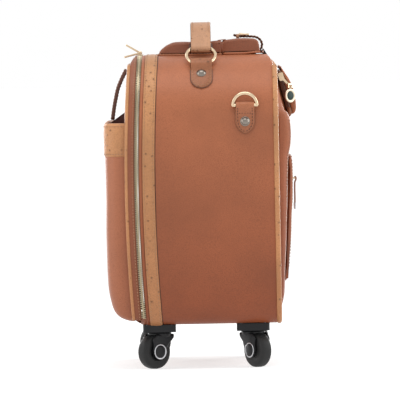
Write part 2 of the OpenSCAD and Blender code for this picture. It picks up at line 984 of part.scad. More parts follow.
// Side view of a fork arm, from the crown to the axle boss
module arm_outline() {
    boss_r = 10.5;
    translate([-trail, axle_z]) circle(r = boss_r);
    polygon([
        [-trail - boss_r + 0.4, axle_z + 2.5], [-trail + 3, axle_z - boss_r + 1],
        [15, crown_foot - 5], [15, crown_foot + 0.1], [-14, crown_foot + 0.1],
        [-trail - boss_r - 1, crown_foot - 7]]);
}

module fork() {
    translate([0, 0, crown_foot]) cylinder(r = 15.5, h = housing_foot - gap - crown_foot);
    translate([0, 0, crown_foot]) cylinder(r = stem_r, h = stem_head - crown_foot);
    for (s = [-1, 1]) along_y(fork_t, s * (fork_in + fork_t / 2)) arm_outline();
    translate([-trail, fork_in + 1, axle_z]) rotate([90, 0, 0])
        cylinder(d = axle_d, h = 2 * fork_in + 2);
}

module wheel() {
    r = wheel_d / 2;
    translate([-trail, 0, axle_z]) rotate([90, 0, 0]) rotate_extrude($fn = 128) difference() {
        union() {
            translate([axle_d / 2 + 0.05, -wheel_w / 2]) square([r - 3 - axle_d / 2, wheel_w]);
            translate([axle_d / 2 + 0.05, -wheel_w / 2 + 3])
                square([r - axle_d / 2 - 0.05, wheel_w - 6]);
            for (s = [-1, 1]) translate([r - 3, s * (wheel_w / 2 - 3)]) circle(r = 3);
        }
        for (s = [-1, 1]) translate([8, s * wheel_w / 2 - 1.2]) square([8, 2.4]);
    }
}

yaw_front = 39;
yaw_back = 123.5;

module caster_at(i, yaw) {
    c = caster_spots[i];
    translate([c[0], c[1] * caster_pitch / 2, 0]) rotate([0, 0, yaw]) children();
}

module front_near_fork() { color(black) caster_at(0, yaw_front) fork(); }
module front_far_fork() { color(black) caster_at(1, yaw_front) fork(); }
module back_near_fork() { color(black) caster_at(2, yaw_back) fork(); }
module back_far_fork() { color(black) caster_at(3, yaw_back) fork(); }
module front_near_wheel() { color(black) caster_at(0, yaw_front) wheel(); }
module front_far_wheel() { color(black) caster_at(1, yaw_front) wheel(); }
module back_near_wheel() { color(black) caster_at(2, yaw_back) wheel(); }
module back_far_wheel() { color(black) caster_at(3, yaw_back) wheel(); }

body_shell();
base_board();
base_skid();
body_lining();
mouth_frame();
ostrich_band();
body_zip_tape();
body_zip_chain();
back_board();
back_piping();
back_pocket_body();
lower_back_pocket();
lower_pocket_zip();
visor_zip_tape();
hood_base();
handle_tabs();
handle_rings();
side_tabs();
tab_rivets();
trolley_bezel();
trolley_outer_tubes();
caster_housings();
caster_screws();
door_panel();
door_gusset();
door_piping();
door_zip_tape();
door_zip_chain();
front_pocket();
pocket_band();
pocket_gussets();
closure_strap();
hood_flap();
belt_strap();
belt_buckle();
carry_strap();
near_ring();
far_ring();
trolley_middle_tubes();
trolley_inner_tubes();
trolley_grip();
trolley_button();
near_slider();
near_pull();
far_slider();
far_pull();
visor_flap();
visor_slider();
visor_medallion();
pocket_slider();
pocket_pull();
front_near_fork();
front_far_fork();
back_near_fork();
back_far_fork();
front_near_wheel();
front_far_wheel();
back_near_wheel();
back_far_wheel();
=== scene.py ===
"""Looks of the pilot rolling flight case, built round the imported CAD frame. The builders work in millimetres;
add() turns them into metres."""
import math

import bmesh
import bpy
import numpy as np
from mathutils import Matrix, Vector, geometry, noise

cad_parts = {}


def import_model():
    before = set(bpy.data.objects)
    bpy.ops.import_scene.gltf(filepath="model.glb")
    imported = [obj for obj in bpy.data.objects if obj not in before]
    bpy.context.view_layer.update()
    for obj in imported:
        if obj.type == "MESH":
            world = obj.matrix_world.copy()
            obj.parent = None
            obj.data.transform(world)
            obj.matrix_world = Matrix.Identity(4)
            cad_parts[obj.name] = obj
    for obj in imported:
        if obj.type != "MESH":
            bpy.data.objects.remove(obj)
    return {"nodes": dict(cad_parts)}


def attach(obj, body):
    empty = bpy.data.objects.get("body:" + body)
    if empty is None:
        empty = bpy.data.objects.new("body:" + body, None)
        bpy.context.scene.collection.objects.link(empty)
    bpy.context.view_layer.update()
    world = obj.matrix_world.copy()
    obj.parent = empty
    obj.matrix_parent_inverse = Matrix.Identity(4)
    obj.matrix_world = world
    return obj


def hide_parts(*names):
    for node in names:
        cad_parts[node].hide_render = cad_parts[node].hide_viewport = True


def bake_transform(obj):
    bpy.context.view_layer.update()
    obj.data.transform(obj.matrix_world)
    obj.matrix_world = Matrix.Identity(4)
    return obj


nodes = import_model()["nodes"]
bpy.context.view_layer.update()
MM = 0.001
TURN = 2 * math.pi


def link(name, data):
    obj = bpy.data.objects.new(name, data)
    bpy.context.scene.collection.objects.link(obj)
    return obj


def round_turn(count):
    """Angles all the way round, without the last one that would repeat the first."""
    return np.linspace(0, TURN, count, endpoint=False)


def clamp(value):
    return min(1.0, max(0.0, value))


# ---- Camera ----
cam_data = bpy.data.cameras.new("camera")
cam = link("camera", cam_data)
cam_data.lens = 663.2
cam_data.sensor_width = 36
cam_data.clip_start = 1
cam_data.clip_end = 60
roll, pitch, reach = 0.0192, 0.023, 9.8
aim = Vector((-0.002, -0.2, 0.225))
back = Vector((0, -math.cos(pitch), math.sin(pitch)))
upright = Vector((0, math.sin(pitch), math.cos(pitch)))
across = math.cos(roll) * Vector((1, 0, 0)) - math.sin(roll) * upright
upward = math.sin(roll) * Vector((1, 0, 0)) + math.cos(roll) * upright
place = aim + back * reach
cam.matrix_world = Matrix([(across[i], upward[i], back[i], place[i]) for i in range(3)] + [(0, 0, 0, 1)])
bpy.context.scene.camera = cam


# ---- Materials ----
class Look:
    """A Principled material and the nodes that feed it, all placed in object space."""

    def __init__(self, name, base, rough, metallic=0.0, **sockets):
        self.material = bpy.data.materials.new(name)
        self.material.use_nodes = True
        self.material.diffuse_color = (*base, 1)
        self.tree = self.material.node_tree
        self.bsdf = self.tree.nodes["Principled BSDF"]
        self.base = base
        self.set(self.bsdf, Base_Color=base, Roughness=rough, Metallic=metallic, **sockets)
        self.at = self.node("TexCoord").outputs["Object"]

    def feed(self, socket, value):
        if hasattr(value, "is_linked"):
            self.tree.links.new(value, socket)
        else:
            socket.default_value = (*value, 1) if socket.type == "RGBA" else value

    def set(self, n, **values):
        for key, value in values.items():
            if hasattr(n, key):
                setattr(n, key, value)
            else:
                self.feed(n.inputs[key.replace("_", " ")], value)

    def node(self, kind, **values):
        n = self.tree.nodes.new("ShaderNode" + kind)
        self.set(n, **values)
        return n

    def noise(self, scale, detail, rough=0.5, **more):
        return self.node("TexNoise", Vector=self.at, Scale=scale, Detail=detail, Roughness=rough,
                         **more).outputs["Fac"]

    def cells(self, at, size, randomness):
        """Distance to the middle of irregular cells, size mm across."""
        return self.node("TexVoronoi", Vector=at, Scale=1000 / size, Randomness=randomness).outputs["Distance"]

    def ramp(self, source, *stops):
        """Greys at the (position, grey) stops."""
        n = self.node("ValToRGB", Fac=source)
        while len(n.color_ramp.elements) < len(stops):
            n.color_ramp.elements.new(0.5)
        for e, (position, grey) in zip(n.color_ramp.elements, stops):
            e.position = position
            e.color = (grey, grey, grey, 1)
        return n.outputs["Color"]

    def mix(self, fac, a, b, blend="MIX"):
        n = self.node("Mix", data_type="RGBA", blend_type=blend)
        for k, value in ((0, fac), (6, a), (7, b)):
            self.feed(n.inputs[k], value)
        return n.outputs[2]

    def maths(self, op, a, b):
        n = self.node("Math", operation=op)
        self.feed(n.inputs[0], a)
        self.feed(n.inputs[1], b)
        return n.outputs[0]

    def bump(self, height, distance, strength, under=None):
        n = self.node("Bump", Height=height, Distance=distance, Strength=strength)
        if under:
            self.feed(n.inputs["Normal"], under)
        self.feed(self.bsdf.inputs["Normal"], n.outputs["Normal"])
        return n.outputs["Normal"]

    def shade(self, k):
        return tuple(min(1, x * k) for x in self.base)

    def finish(self, **sockets):
        self.set(self.bsdf, **sockets)
        return self.material


QUILL = (0.13, 0.055, 0.022)


def leather(name, base, rough, grain, quills=0.0, spread=0.16, depth=0.10, shade_toward_foot=(0.60, 0.44, 0.33)):
    """Grained leather: pebbles grain mm across, soft colour changes, worn gloss, and quill dots if asked.
    The colour is darkened toward the foot of the case, multiplied there by shade_toward_foot: painted shade for the
    light falling off lower down."""
    k = Look(name, base, rough, Specular_IOR_Level=0.36)
    broad = k.noise(11, 4, 0.55)
    pebble = k.cells(k.at, grain, 0.85)
    fine = k.noise(900, 3, 0.6)
    cells = k.ramp(pebble, (0.05, 1.0), (0.75, 0.0))
    colour = k.mix(k.ramp(broad, (0.3, 0.0), (0.7, 1.0)), k.shade(1 - spread), k.shade(1 + spread))
    colour = k.mix(k.ramp(cells, (0.0, 0.55), (0.5, 0.0)), colour, k.shade(0.62))
    colour = k.mix(k.ramp(fine, (0.35, 0.25), (0.62, 0.0)), colour, k.shade(0.75))
    # painted shade: the leather's colour darkens from 0.38 m down to 0.07 m above the floor
    high = k.node("SeparateXYZ", Vector=k.at).outputs["Z"]
    low = k.node("MapRange", Value=high, From_Min=0.38, From_Max=0.07).outputs["Result"]
    colour = k.mix(low, colour, k.mix(1.0, colour, shade_toward_foot, "MULTIPLY"))
    height = k.mix(0.25, cells, fine)
    if quills:
        shift = k.node("Mapping", Vector=k.at, Location=(0.31, 0.17, 0.23)).outputs["Vector"]
        near = k.cells(shift, quills, 0.9)
        dot = k.ramp(near, (0.11, 1.0), (0.17, 0.0))
        mound = k.ramp(near, (0.06, 0.25), (0.11, 1.0), (0.30, 0.0))
        colour = k.mix(k.maths("MULTIPLY", dot, 0.85), colour, QUILL)
        halo = k.maths("MULTIPLY", k.ramp(near, (0.12, 1.0), (0.30, 0.0)), 0.25)
        colour = k.mix(halo, colour, k.shade(0.55))
        wrinkle = k.noise(160, 5, 0.6, Distortion=1.2)
        mounds = k.bump(k.mix(0.4, mound, wrinkle), 0.0011, 0.8)
        k.bump(height, depth * MM, 0.7, mounds)
    else:
        k.bump(height, depth * MM, 0.9)
    gloss = k.maths("ADD", k.maths("MULTIPLY", broad, 0.16), rough - 0.08)
    worn = k.maths("SUBTRACT", gloss, k.maths("MULTIPLY", cells, 0.08))
    return k.finish(Base_Color=colour, Roughness=worn)


def metal(name, base, rough, brushed=False):
    k = Look(name, base, rough, 1.0)
    if brushed:
        k.at = k.node("Mapping", Vector=k.at, Scale=(1, 1, 0.04)).outputs["Vector"]
    wear = k.noise(500 if brushed else 120, 5)
    colour = k.mix(k.ramp(wear, (0.35, 0.0), (0.75, 0.35)), base, k.shade(0.72))
    gloss = k.maths("ADD", k.maths("MULTIPLY", wear, 0.18), rough - 0.06)
    k.bump(wear, 0.00003, 0.5)
    return k.finish(Base_Color=colour, Roughness=gloss)


def plastic(name, base, rough, texture=700, depth=0.05):
    k = Look(name, base, rough, Specular_IOR_Level=0.26)
    fine = k.noise(texture, 3)
    broad = k.noise(35, 4)
    colour = k.mix(k.ramp(broad, (0.35, 0.0), (0.7, 1.0)), k.shade(0.85), k.shade(1.25))
    gloss = k.maths("ADD", k.maths("MULTIPLY", broad, 0.18), rough - 0.09)
    k.bump(fine, depth * MM, 0.8)
    return k.finish(Base_Color=colour, Roughness=gloss)


def fabric(name, base, pitch, rough=0.85):
    """Woven cloth: crossed sets of threads pitch mm apart."""
    k = Look(name, base, rough, Sheen_Weight=0.25, Sheen_Roughness=0.5, Specular_IOR_Level=0.2)
    waves = [k.node("TexWave", Vector=k.at, Scale=1000 / pitch / 3.14, Distortion=0.6, wave_type="BANDS",
                    bands_direction=direction).outputs["Fac"] for direction in "XYZ"]
    weave = k.maths("MULTIPLY", k.maths("MULTIPLY", waves[0], waves[1]), waves[2])
    weave = k.ramp(k.maths("POWER", weave, 0.33), (0.2, 0.0), (0.9, 1.0))
    broad = k.noise(20, 4)
    colour = k.mix(weave, k.shade(0.6), k.shade(1.25))
    colour = k.mix(k.ramp(broad, (0.4, 0.0), (0.7, 0.3)), colour, k.shade(0.7))
    k.bump(weave, 0.00012, 0.8)
    return k.finish(Base_Color=colour)


def enamel(name, base, dark, light):
    k = Look(name, base, 0.35, Specular_IOR_Level=0.25)
    clouds = k.noise(220, 4)
    colour = k.mix(clouds, dark, light)
    k.bump(clouds, 0.00004, 0.4)
    return k.finish(Base_Color=colour)


M_LEATHER = leather("cognac_leather", (0.385, 0.124, 0.052), 0.47, 1.1)
M_POCKET = leather("pocket_leather", (0.39, 0.138, 0.066), 0.42, 1.1, shade_toward_foot=(0.80, 0.72, 0.66))
M_GUSSET = leather("gusset_leather", (0.27, 0.086, 0.040), 0.47, 1.1, shade_toward_foot=(0.8, 0.7, 0.6))
# the hood's leather is the cognac leather made darker: painted shade for its shaded end and underside
M_HOOD_SHADED = leather("hood_leather_shaded", (0.245, 0.076, 0.034), 0.45, 1.1)
M_OSTRICH = leather("ostrich_leather", (0.50, 0.235, 0.10), 0.44, 1.4, quills=9.0, spread=0.2,
                    shade_toward_foot=(0.84, 0.76, 0.72))
M_STRAP = leather("strap_ostrich", (0.45, 0.235, 0.130), 0.46, 1.4, quills=6.5, spread=0.2)
M_TAB = leather("tab_ostrich", (0.29, 0.105, 0.045), 0.45, 1.4, quills=10.0, spread=0.2)
M_SIDE_TAB = leather("side_tab_leather", (0.40, 0.140, 0.062), 0.44, 1.3, spread=0.2)
M_DARK = leather("dark_leather", (0.14, 0.055, 0.030), 0.5, 1.0)
M_EDGE = leather("edge_paint", (0.10, 0.035, 0.020), 0.4, 2.0, depth=0.03)
M_GOLD = metal("pale_gold", (0.72, 0.56, 0.38), 0.22)
M_BRASS = metal("zip_gold", (0.50, 0.42, 0.28), 0.32)
M_ALU = metal("anodised_aluminium", (0.70, 0.70, 0.72), 0.3, brushed=True)
M_STEEL = metal("steel", (0.60, 0.60, 0.62), 0.28)
M_CREAM = metal("cream_gold", (0.74, 0.64, 0.50), 0.34)
# rivet metal with a darkened base colour: painted dark reflection on the domes
M_RIVET_DARKENED = metal("rivet_dark_reflection", (0.25, 0.22, 0.19), 0.18)
M_BLACK = plastic("black_plastic", (0.009, 0.009, 0.010), 0.36)
M_RUBBER = plastic("wheel_rubber", (0.016, 0.016, 0.016), 0.5, 300, 0.08)
M_LINING = fabric("maroon_lining", (0.060, 0.018, 0.015), 1.0)
M_TAPE = fabric("zip_tape_fabric", (0.070, 0.030, 0.018), 0.7)
M_ZIP_TAPE = fabric("main_zip_tape", (0.20, 0.072, 0.040), 0.7)
M_THREAD = fabric("thread", (0.42, 0.21, 0.10), 0.5, 0.7)
M_ENAMEL = enamel("dark_enamel", (0.008, 0.022, 0.016), (0.003, 0.010, 0.009), (0.014, 0.045, 0.036))


# ---- Shape building ----
class Shape:
    """Collects vertices and faces in millimetres."""

    def __init__(self):
        self.v, self.f = [], []

    def add(self, verts, faces):
        base = len(self.v)
        self.v += [tuple(map(float, p)) for p in verts]
        self.f += [tuple(base + i for i in face) for face in faces]
        return self

    def grid(self, rows, wrap_u=False, wrap_v=False, cap=False):
        """Quads between rows of points of equal length."""
        n, m = len(rows), len(rows[0])
        faces = []
        for i in range(n if wrap_u else n - 1):
            for j in range(m if wrap_v else m - 1):
                here, there = i * m, (i + 1) % n * m
                faces.append((here + j, here + (j + 1) % m, there + (j + 1) % m, there + j))
        if cap:
            faces.append(tuple(range(m - 1, -1, -1)))
            faces.append(tuple((n - 1) * m + j for j in range(m)))
        return self.add([p for row in rows for p in row], faces)

    def tube(self, path, r, sides=12, closed=False):
        """A round tube along path."""
        path = [Vector(p) for p in path]
        n = len(path)
        rows, up = [], None
        for i, p in enumerate(path):
            a = path[(i - 1) % n] if closed or i else path[0]
            b = path[(i + 1) % n] if closed or i < n - 1 else path[-1]
            t = (b - a).normalized()
            if up is None:
                up = t.orthogonal().normalized()
            up = (up - t * up.dot(t)).normalized()
            side = t.cross(up)
            rows.append([p + (up * math.cos(k) + side * math.sin(k)) * r for k in round_turn(sides)])
        return self.grid(rows, wrap_u=closed, wrap_v=True, cap=not closed)

    def lathe(self, centre, axis, profile, sides=48):
        """Turns (radius, along) pairs about axis through centre."""
        axis = Vector(axis).normalized()
        u = axis.orthogonal().normalized()
        w = axis.cross(u)
        c = Vector(centre)
        rows = [[c + axis * h + (u * math.cos(k) + w * math.sin(k)) * max(r, 0.01) for r, h in profile]
                for k in round_turn(sides)]
        self.grid(rows, wrap_u=True)
        m = len(profile)
        base = len(self.v) - sides * m
        self.f.append(tuple(base + i * m for i in range(sides)))
        self.f.append(tuple(base + i * m + m - 1 for i in reversed(range(sides))))
        return self

    def block(self, centre, axes, size):
        """A box of the given size along three axes, its edges chamfered."""
        c = Vector(centre)
        ax = [Vector(a).normalized() for a in axes]
        h = [s / 2 for s in size]
        k = min(h) * 0.3
        rows = []
        for z, inset in ((-h[2], k), (-h[2] + k, 0), (h[2] - k, 0), (h[2], k)):
            x, y = h[0] - inset, h[1] - inset
            ring = [(-x + k, -y), (x - k, -y), (x, -y + k), (x, y - k), (x - k, y), (-x + k, y), (-x, y - k),
                    (-x, -y + k)]
            rows.append([c + ax[0] * p + ax[1] * q + ax[2] * z for p, q in ring])
        return self.grid(rows, wrap_v=True, cap=True)


def bar(rows):
    """A closed form through the rows, its two ends flat."""
    return Shape().grid(rows, wrap_v=True, cap=True)


def hoop(rows):
    """A closed form through rows that come back to where they started."""
    return Shape().grid(rows, wrap_u=True, wrap_v=True)


def add(name, shape, material, body, slot=None, replaces=(), sub=0, bevel=0.0, solid=0.0, crisp=False,
        shell=False):
    """Makes the piece. A solid above 0 thickens it inward and one below 0 outward; crisp keeps its facets; a
    shell is turned to face outward as a whole."""
    mesh = bpy.data.meshes.new(name)
    mesh.from_pydata([(x * MM, y * MM, z * MM) for x, y, z in shape.v], [], shape.f)
    bm = bmesh.new()
    bm.from_mesh(mesh)
    if not crisp:
        bmesh.ops.remove_doubles(bm, verts=bm.verts, dist=0.01 * MM)
    bmesh.ops.recalc_face_normals(bm, faces=bm.faces)
    if shell:
        bm.faces.ensure_lookup_table()
        middle = sum((v.co for v in bm.verts), Vector()) / len(bm.verts)
        if sum((f.calc_center_median() - middle).dot(f.normal) * f.calc_area() for f in bm.faces) < 0:
            bmesh.ops.reverse_faces(bm, faces=bm.faces)
    bm.to_mesh(mesh)
    bm.free()
    mesh.polygons.foreach_set("use_smooth", [not crisp] * len(mesh.polygons))
    obj = link(name, mesh)
    mesh.materials.append(material)
    if solid:
        s = obj.modifiers.new("thickness", "SOLIDIFY")
        s.thickness = abs(solid) * MM
        s.offset = -1 if solid > 0 else 1
        s.use_even_offset = not shell
    if bevel:
        soften(obj, bevel, 35)
    if sub:
        s = obj.modifiers.new("smooth", "SUBSURF")
        s.levels = s.render_levels = sub
    if replaces:
        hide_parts(*replaces)
    if body:
        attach(obj, body)
    return obj


def soften(obj, width, angle):
    b = obj.modifiers.new("edges", "BEVEL")
    b.width = width * MM
    b.segments = 2
    b.limit_method = "ANGLE"
    b.angle_limit = math.radians(angle)
    b.harden_normals = False


def dress(name, material, bevel):
    """Gives a CAD node its material, and bevelled edges unless bevel is 0."""
    o = nodes[name]
    o.data.materials.clear()
    o.data.materials.append(material)
    if bevel:
        o.data.polygons.foreach_set("use_smooth", [False] * len(o.data.polygons))
        o.modifiers.new("weld", "WELD").merge_threshold = 0.00002
        soften(o, bevel, 30)


def second(obj, material, test):
    """Gives faces whose middle (in millimetres) passes the test a second material."""
    obj.data.materials.append(material)
    for f in obj.data.polygons:
        if test(f.center * 1000):
            f.material_index = 1


def lined(obj):
    """Lines the inner side of a piece that has a thickness modifier."""
    obj.data.materials.append(M_LINING)
    obj.modifiers["thickness"].material_offset = 1
    return obj


# ---- Lines ----
def rounded(points, r, n=5, closed=True):
    """The polygon with each corner replaced by a smooth bend about r across."""
    out, count = [], len(points)
    for i, p in enumerate(points):
        if not closed and i in (0, count - 1):
            out.append(tuple(p))
            continue
        p = np.array(p, float)
        k = r[i] if hasattr(r, "__len__") else r
        before, after = np.array(points[i - 1], float) - p, np.array(points[(i + 1) % count], float) - p
        s, e = (p + d / np.linalg.norm(d) * min(k, np.linalg.norm(d) * 0.48) for d in (before, after))
        for t in np.linspace(0, 1, n):
            out.append(tuple(s * (1 - t) ** 2 + 2 * p * t * (1 - t) + e * t * t))
    return out


def lengths(points):
    """Length along the line at each of its points."""
    d = [0.0]
    for a, b in zip(points, points[1:]):
        d.append(d[-1] + math.dist(a, b))
    return d


def resample(points, step, closed=True):
    """Points about step apart along the line."""
    points = list(points) + (list(points[:1]) if closed else [])
    d = lengths(points)
    n = max(4, int(round(d[-1] / step)))
    at = np.linspace(0, d[-1], n + 1)
    out = list(zip(*(np.interp(at, d, axis) for axis in zip(*points))))
    return out[:-1] if closed else out


def curve(points, step):
    """A smooth line through the points (Catmull-Rom), resampled."""
    p = [np.array(q, float) for q in points]
    p = [2 * p[0] - p[1], *p, 2 * p[-1] - p[-2]]
    out = []
    for i in range(1, len(p) - 2):
        a, b, c, d = p[i - 1:i + 3]
        for t in np.linspace(0, 1, 8, endpoint=False):
            out.append(0.5 * (2 * b + (c - a) * t + (2 * a - 5 * b + 4 * c - d) * t * t
                              + (3 * b - a - 3 * c + d) * t ** 3))
    out.append(p[-2])
    return resample(out, step, closed=False)


def both_ways(half, flip_a=1, flip_b=-1):
    """The line carried on as its own mirror image."""
    return half + [(a * flip_a, b * flip_b) for a, b in reversed(half[:-1])]


def normals2(points, closed=True):
    """Unit normals of a 2-D line, on its right-hand side when walked in order."""
    n, out = len(points), []
    for i in range(n):
        a = points[i - 1] if closed or i else points[0]
        b = points[(i + 1) % n] if closed or i < n - 1 else points[-1]
        d = np.array(b, float) - np.array(a, float)
        d /= max(np.linalg.norm(d), 1e-9)
        out.append(np.array([d[1], -d[0]]))
    return out


def turned(points):
    """The closed line, walked so that normals2 points out of it."""
    area = sum(points[i - 1][0] * p[1] - p[0] * points[i - 1][1] for i, p in enumerate(points))
    return points[::-1] if area < 0 else points


def wobble(p, size, amount, seed=0.0):
    """A soft seeded unevenness, amount mm, over features size mm across."""
    return amount * noise.noise(Vector((p[0] / size + seed, p[1] / size + seed * 0.7, p[2] / size - seed)))


def pillow_y(profile, half, r, step=9, crown=0.0, uneven=0.0, seed=1.0):
    """Rows of a padded form: the closed side-view profile carried along Y, rounded in by r at both ends and
    swollen by crown in between."""
    profile = turned(profile)
    out = normals2(profile)
    ys = [(-half + r * (1 - math.cos(a)), r * (1 - math.sin(a))) for a in np.linspace(0, math.pi / 2, 6)]
    mid = np.linspace(-half + r, half - r, max(3, int((half - r) * 2 / step)))
    ys = ys + [(y, 0.0) for y in mid[1:-1]] + [(-y, i) for y, i in reversed(ys)]
    rows = []
    for y, inset in ys:
        k = crown * max(0.0, 1 - (y / half) ** 2) ** 0.5 - inset
        row = []
        for p, n in zip(profile, out):
            q = (p[0] + n[0] * k, y, p[1] + n[1] * k)
            w = wobble(q, 45, uneven, seed)
            row.append((q[0] + n[0] * w, y, q[2] + n[1] * w))
        rows.append(row)
    return rows


def stitches(shape, points, normals, pitch=4.2, length=2.9, r=0.42, lift=0.1):
    """Threads along a line of 3-D points, each a small flattened capsule standing on its surface. A single
    normal serves the whole line."""
    pts = [Vector(p) for p in points]
    if not hasattr(normals[0], "__len__"):
        normals = [normals] * len(pts)
    nrm = [Vector(n).normalized() for n in normals]
    d = lengths(pts)
    count = int(d[-1] / pitch)
    if count < 1:
        return
    step = d[-1] / count

    def place(s):
        at = min(len(d) - 2, max(0, int(np.searchsorted(d, s)) - 1))
        k = (s - d[at]) / max(d[at + 1] - d[at], 1e-6)
        return pts[at].lerp(pts[at + 1], k), nrm[at].lerp(nrm[at + 1], k).normalized()

    for i in range(count):
        mid = (i + 0.5) * step
        a, na = place(mid - length / 2)
        b, nb = place(mid + length / 2)
        c, nc = place(mid)
        side = (b - a).normalized().cross(nc).normalized()
        rows = []
        for q, n, k in ((a, na, 0.25), (a.lerp(c, 0.45), na, 1.0), (b.lerp(c, 0.45), nb, 1.0), (b, nb, 0.25)):
            o = q + n * (lift - (1 - k) * r * 0.8)
            rows.append([o + (side * math.cos(u) * 1.15 + n * math.sin(u)) * r * k for u in round_turn(6)])
        shape.grid(rows, wrap_v=True, cap=True)
    return shape


# ---- Outline of the case, front view ----
HW, FOOT, TOP, RT, RB = 200.0, 59.0, 417.0, 80.0, 25.0
HIGH, WIDE, LOW, CORNER = TOP - RT, HW - RT, FOOT + RB, HW - RB


def half_width(z, g):
    """Half of the case's width at height z, its outline grown by g."""
    if z > HIGH:
        return WIDE + math.sqrt(max(0.0, (RT + g) ** 2 - (z - HIGH) ** 2))
    if z < LOW:
        return CORNER + math.sqrt(max(0.0, (RB + g) ** 2 - (LOW - z) ** 2))
    return HW + g


def lean(z):
    """How far the front of the case stands back at height z, because it is gently crowned."""
    return 2300 - math.sqrt(2300 ** 2 - (z - 240) ** 2)


def outline(step=7.0, foot=None):
    """Points (y, z, ny, nz, distance) up the near side, over the top and down the far side, and back along the
    underside unless foot cuts it."""
    quarter = math.pi / 2
    segments = [(-HW, LOW, -HW, HIGH), (-WIDE, HIGH, RT, math.pi, quarter), (-WIDE, TOP, -98, TOP),
                (-98, TOP, 98, TOP), (98, TOP, WIDE, TOP), (WIDE, HIGH, RT, quarter, 0), (HW, HIGH, HW, LOW)]
    if foot is None:
        segments += [(CORNER, LOW, RB, 0, -quarter), (CORNER, FOOT, -CORNER, FOOT),
                     (-CORNER, LOW, RB, -quarter, -math.pi)]
    else:
        a0 = math.asin((LOW - foot) / RB)
        segments = [(-CORNER, LOW, RB, math.pi + a0, math.pi), *segments, (CORNER, LOW, RB, 0, -a0)]
    out, run = [], 0.0
    for q in segments:
        if len(q) == 4:
            y0, z0, y1, z1 = q
            length = math.hypot(y1 - y0, z1 - z0)
            n = max(1, round(length / step))
            ny, nz = -(z1 - z0) / length, (y1 - y0) / length
            out += [(y0 + (y1 - y0) * i / n, z0 + (z1 - z0) * i / n, ny, nz, run + length * i / n)
                    for i in range(n)]
        else:
            cy, cz, r, a, b = q
            length = abs(b - a) * r
            n = max(3, round(length / min(step, 4)))
            for i in range(n if foot is None or q is not segments[-1] else n + 1):
                c, s = math.cos(a + (b - a) * i / n), math.sin(a + (b - a) * i / n)
                out.append((cy + r * c, cz + r * s, c, s, run + length * i / n))
        run += length
    return out


LOOP = outline(7)
ARCH = outline(5, 66)
ZIPLINE = outline(5, 68)


BACK_EDGE, FRONT_EDGE, EDGE_TOP = 91.4, -84.6, 418.2


def slope_top(x):
    """Highest z of the case at x, where its top edges slope away."""
    if x > BACK_EDGE:
        return EDGE_TOP - 1.612 * (x - BACK_EDGE)
    return EDGE_TOP - 1.4576 * (FRONT_EDGE - x) if x < FRONT_EDGE else 999


def on_case(p, x, g):
    """The point at depth x, grown out by g, beside outline point p."""
    y, z, ny, nz, _run = p
    xx = x + lean(z)
    limit = slope_top(xx) + g
    zz = z + g * nz
    if zz > limit:
        zz = limit
        xx = x + lean(zz)
    return (xx, y + g * ny, zz)


def rim(line, section, anchor=None, uneven=0.0, seed=0.0):
    """A form with the section, (x, g) pairs, carried along the outline. With an anchor the section keeps its
    shape about that point."""
    rows = []
    for p in line:
        if anchor:
            x0, g0 = anchor
            a = on_case(p, x0, g0)
            rows.append([(a[0] + x - x0, a[1] + (g - g0) * p[2], a[2] + (g - g0) * p[3]) for x, g in section])
            continue
        row = []
        for x, g in section:
            q = on_case(p, x, g)
            w = wobble(q, 60, uneven, seed) * abs(p[2])
            row.append((q[0], q[1] + w * p[2], q[2] + w * p[3]))
        rows.append(row)
    return hoop(rows) if line is LOOP else bar(rows)


# ---- Case body ----
def skin_rows(xs):
    rows = []
    for y, z, ny, nz, _run in LOOP:
        row = []
        for x in xs:
            xx = x + lean(z) * clamp(-x / 78)
            swell = 0.7 * math.sin(math.pi * clamp((x + 62) / 150)) * abs(ny)
            edge = -0.9 * max(0.0, 1 - abs(96.5 - x) / 2.5) * abs(ny) - (1.7 if x > 98 else 0)
            w = (wobble((xx, y, z), 70, 0.55, 3.0) + wobble((xx, y, z), 26, 0.16, 8.0)) * abs(ny)
            k = swell + edge + w
            row.append((xx, y + k * ny, min(z + k * nz, slope_top(xx)) if xx > BACK_EDGE else z + k * nz))
        rows.append(row)
    return rows


def without(shape, *spaces):
    """Drops faces whose middle lies in one of the boxes (x0, x1, half width, z0)."""
    keep = []
    for f in shape.f:
        c = np.mean([shape.v[i] for i in f], axis=0)
        if not any(x0 < c[0] < x1 and abs(c[1]) < h and c[2] > z0 for x0, x1, h, z0 in spaces):
            keep.append(f)
    shape.f = keep
    return shape


TOP_HOLE = (37.0, 76.0, 98.0, 395.0)
BEZEL_HOLE = (87.2, 110.0, 98.0, 380.0)
xs = [-77.8, -76, -70, -63, -61, *np.linspace(-54, 30, 13), 37, 44, 52, 60, 68, 76, 82, 87.2, 91, 94, 95.5, 97, 98.6]
s = without(Shape().grid(skin_rows(xs), wrap_u=True), TOP_HOLE, BEZEL_HOLE)
lined(add("body_skin", s, M_LEATHER, "case", "leather", ["body_shell"], solid=3.0, shell=True))

# Lining: side walls, then the back wall and a flat sewn pocket
xs = [-71.5, *np.linspace(-66, 30, 11), 37, 45, 55, 66, 76, 81, 84.2, 86]
rows = []
for y, z, ny, nz, _run in outline(9):
    row = []
    for x in xs:
        k = -3.7 - 0.5 * abs(noise.noise(Vector((x / 30, y / 34, z / 34)))) * (1 if z > 75 else 0)
        row.append((x, y + k * ny, z + k * nz))
    rows.append(row)
s = without(Shape().grid(rows, wrap_u=True), TOP_HOLE, BEZEL_HOLE)
s.f = [f for f in s.f if np.mean([s.v[i][2] for i in f]) > 66]
wall = []
for z in [65.5, 72, *np.linspace(84, 380, 26), 386, 395, 404, 412.6]:
    a = half_width(z, -3.8)
    wall.append([(86.0 - 0.8 * abs(noise.noise(Vector((y / 40, z / 40, 2.0)))), y, z)
                 for y in np.linspace(-a, a, 41)])
wall = without(Shape().grid(wall), BEZEL_HOLE)
s.add(wall.v, wall.f)
add("body_inner_lining", s, M_LINING, "case", "lining_fabric", ["body_lining"])


def slack(y, half):
    """0 at both ends of a pocket's mouth, rising quickly to 1 between them."""
    return math.sin(math.pi * min(1, (y + half) / (2 * half))) ** 0.4


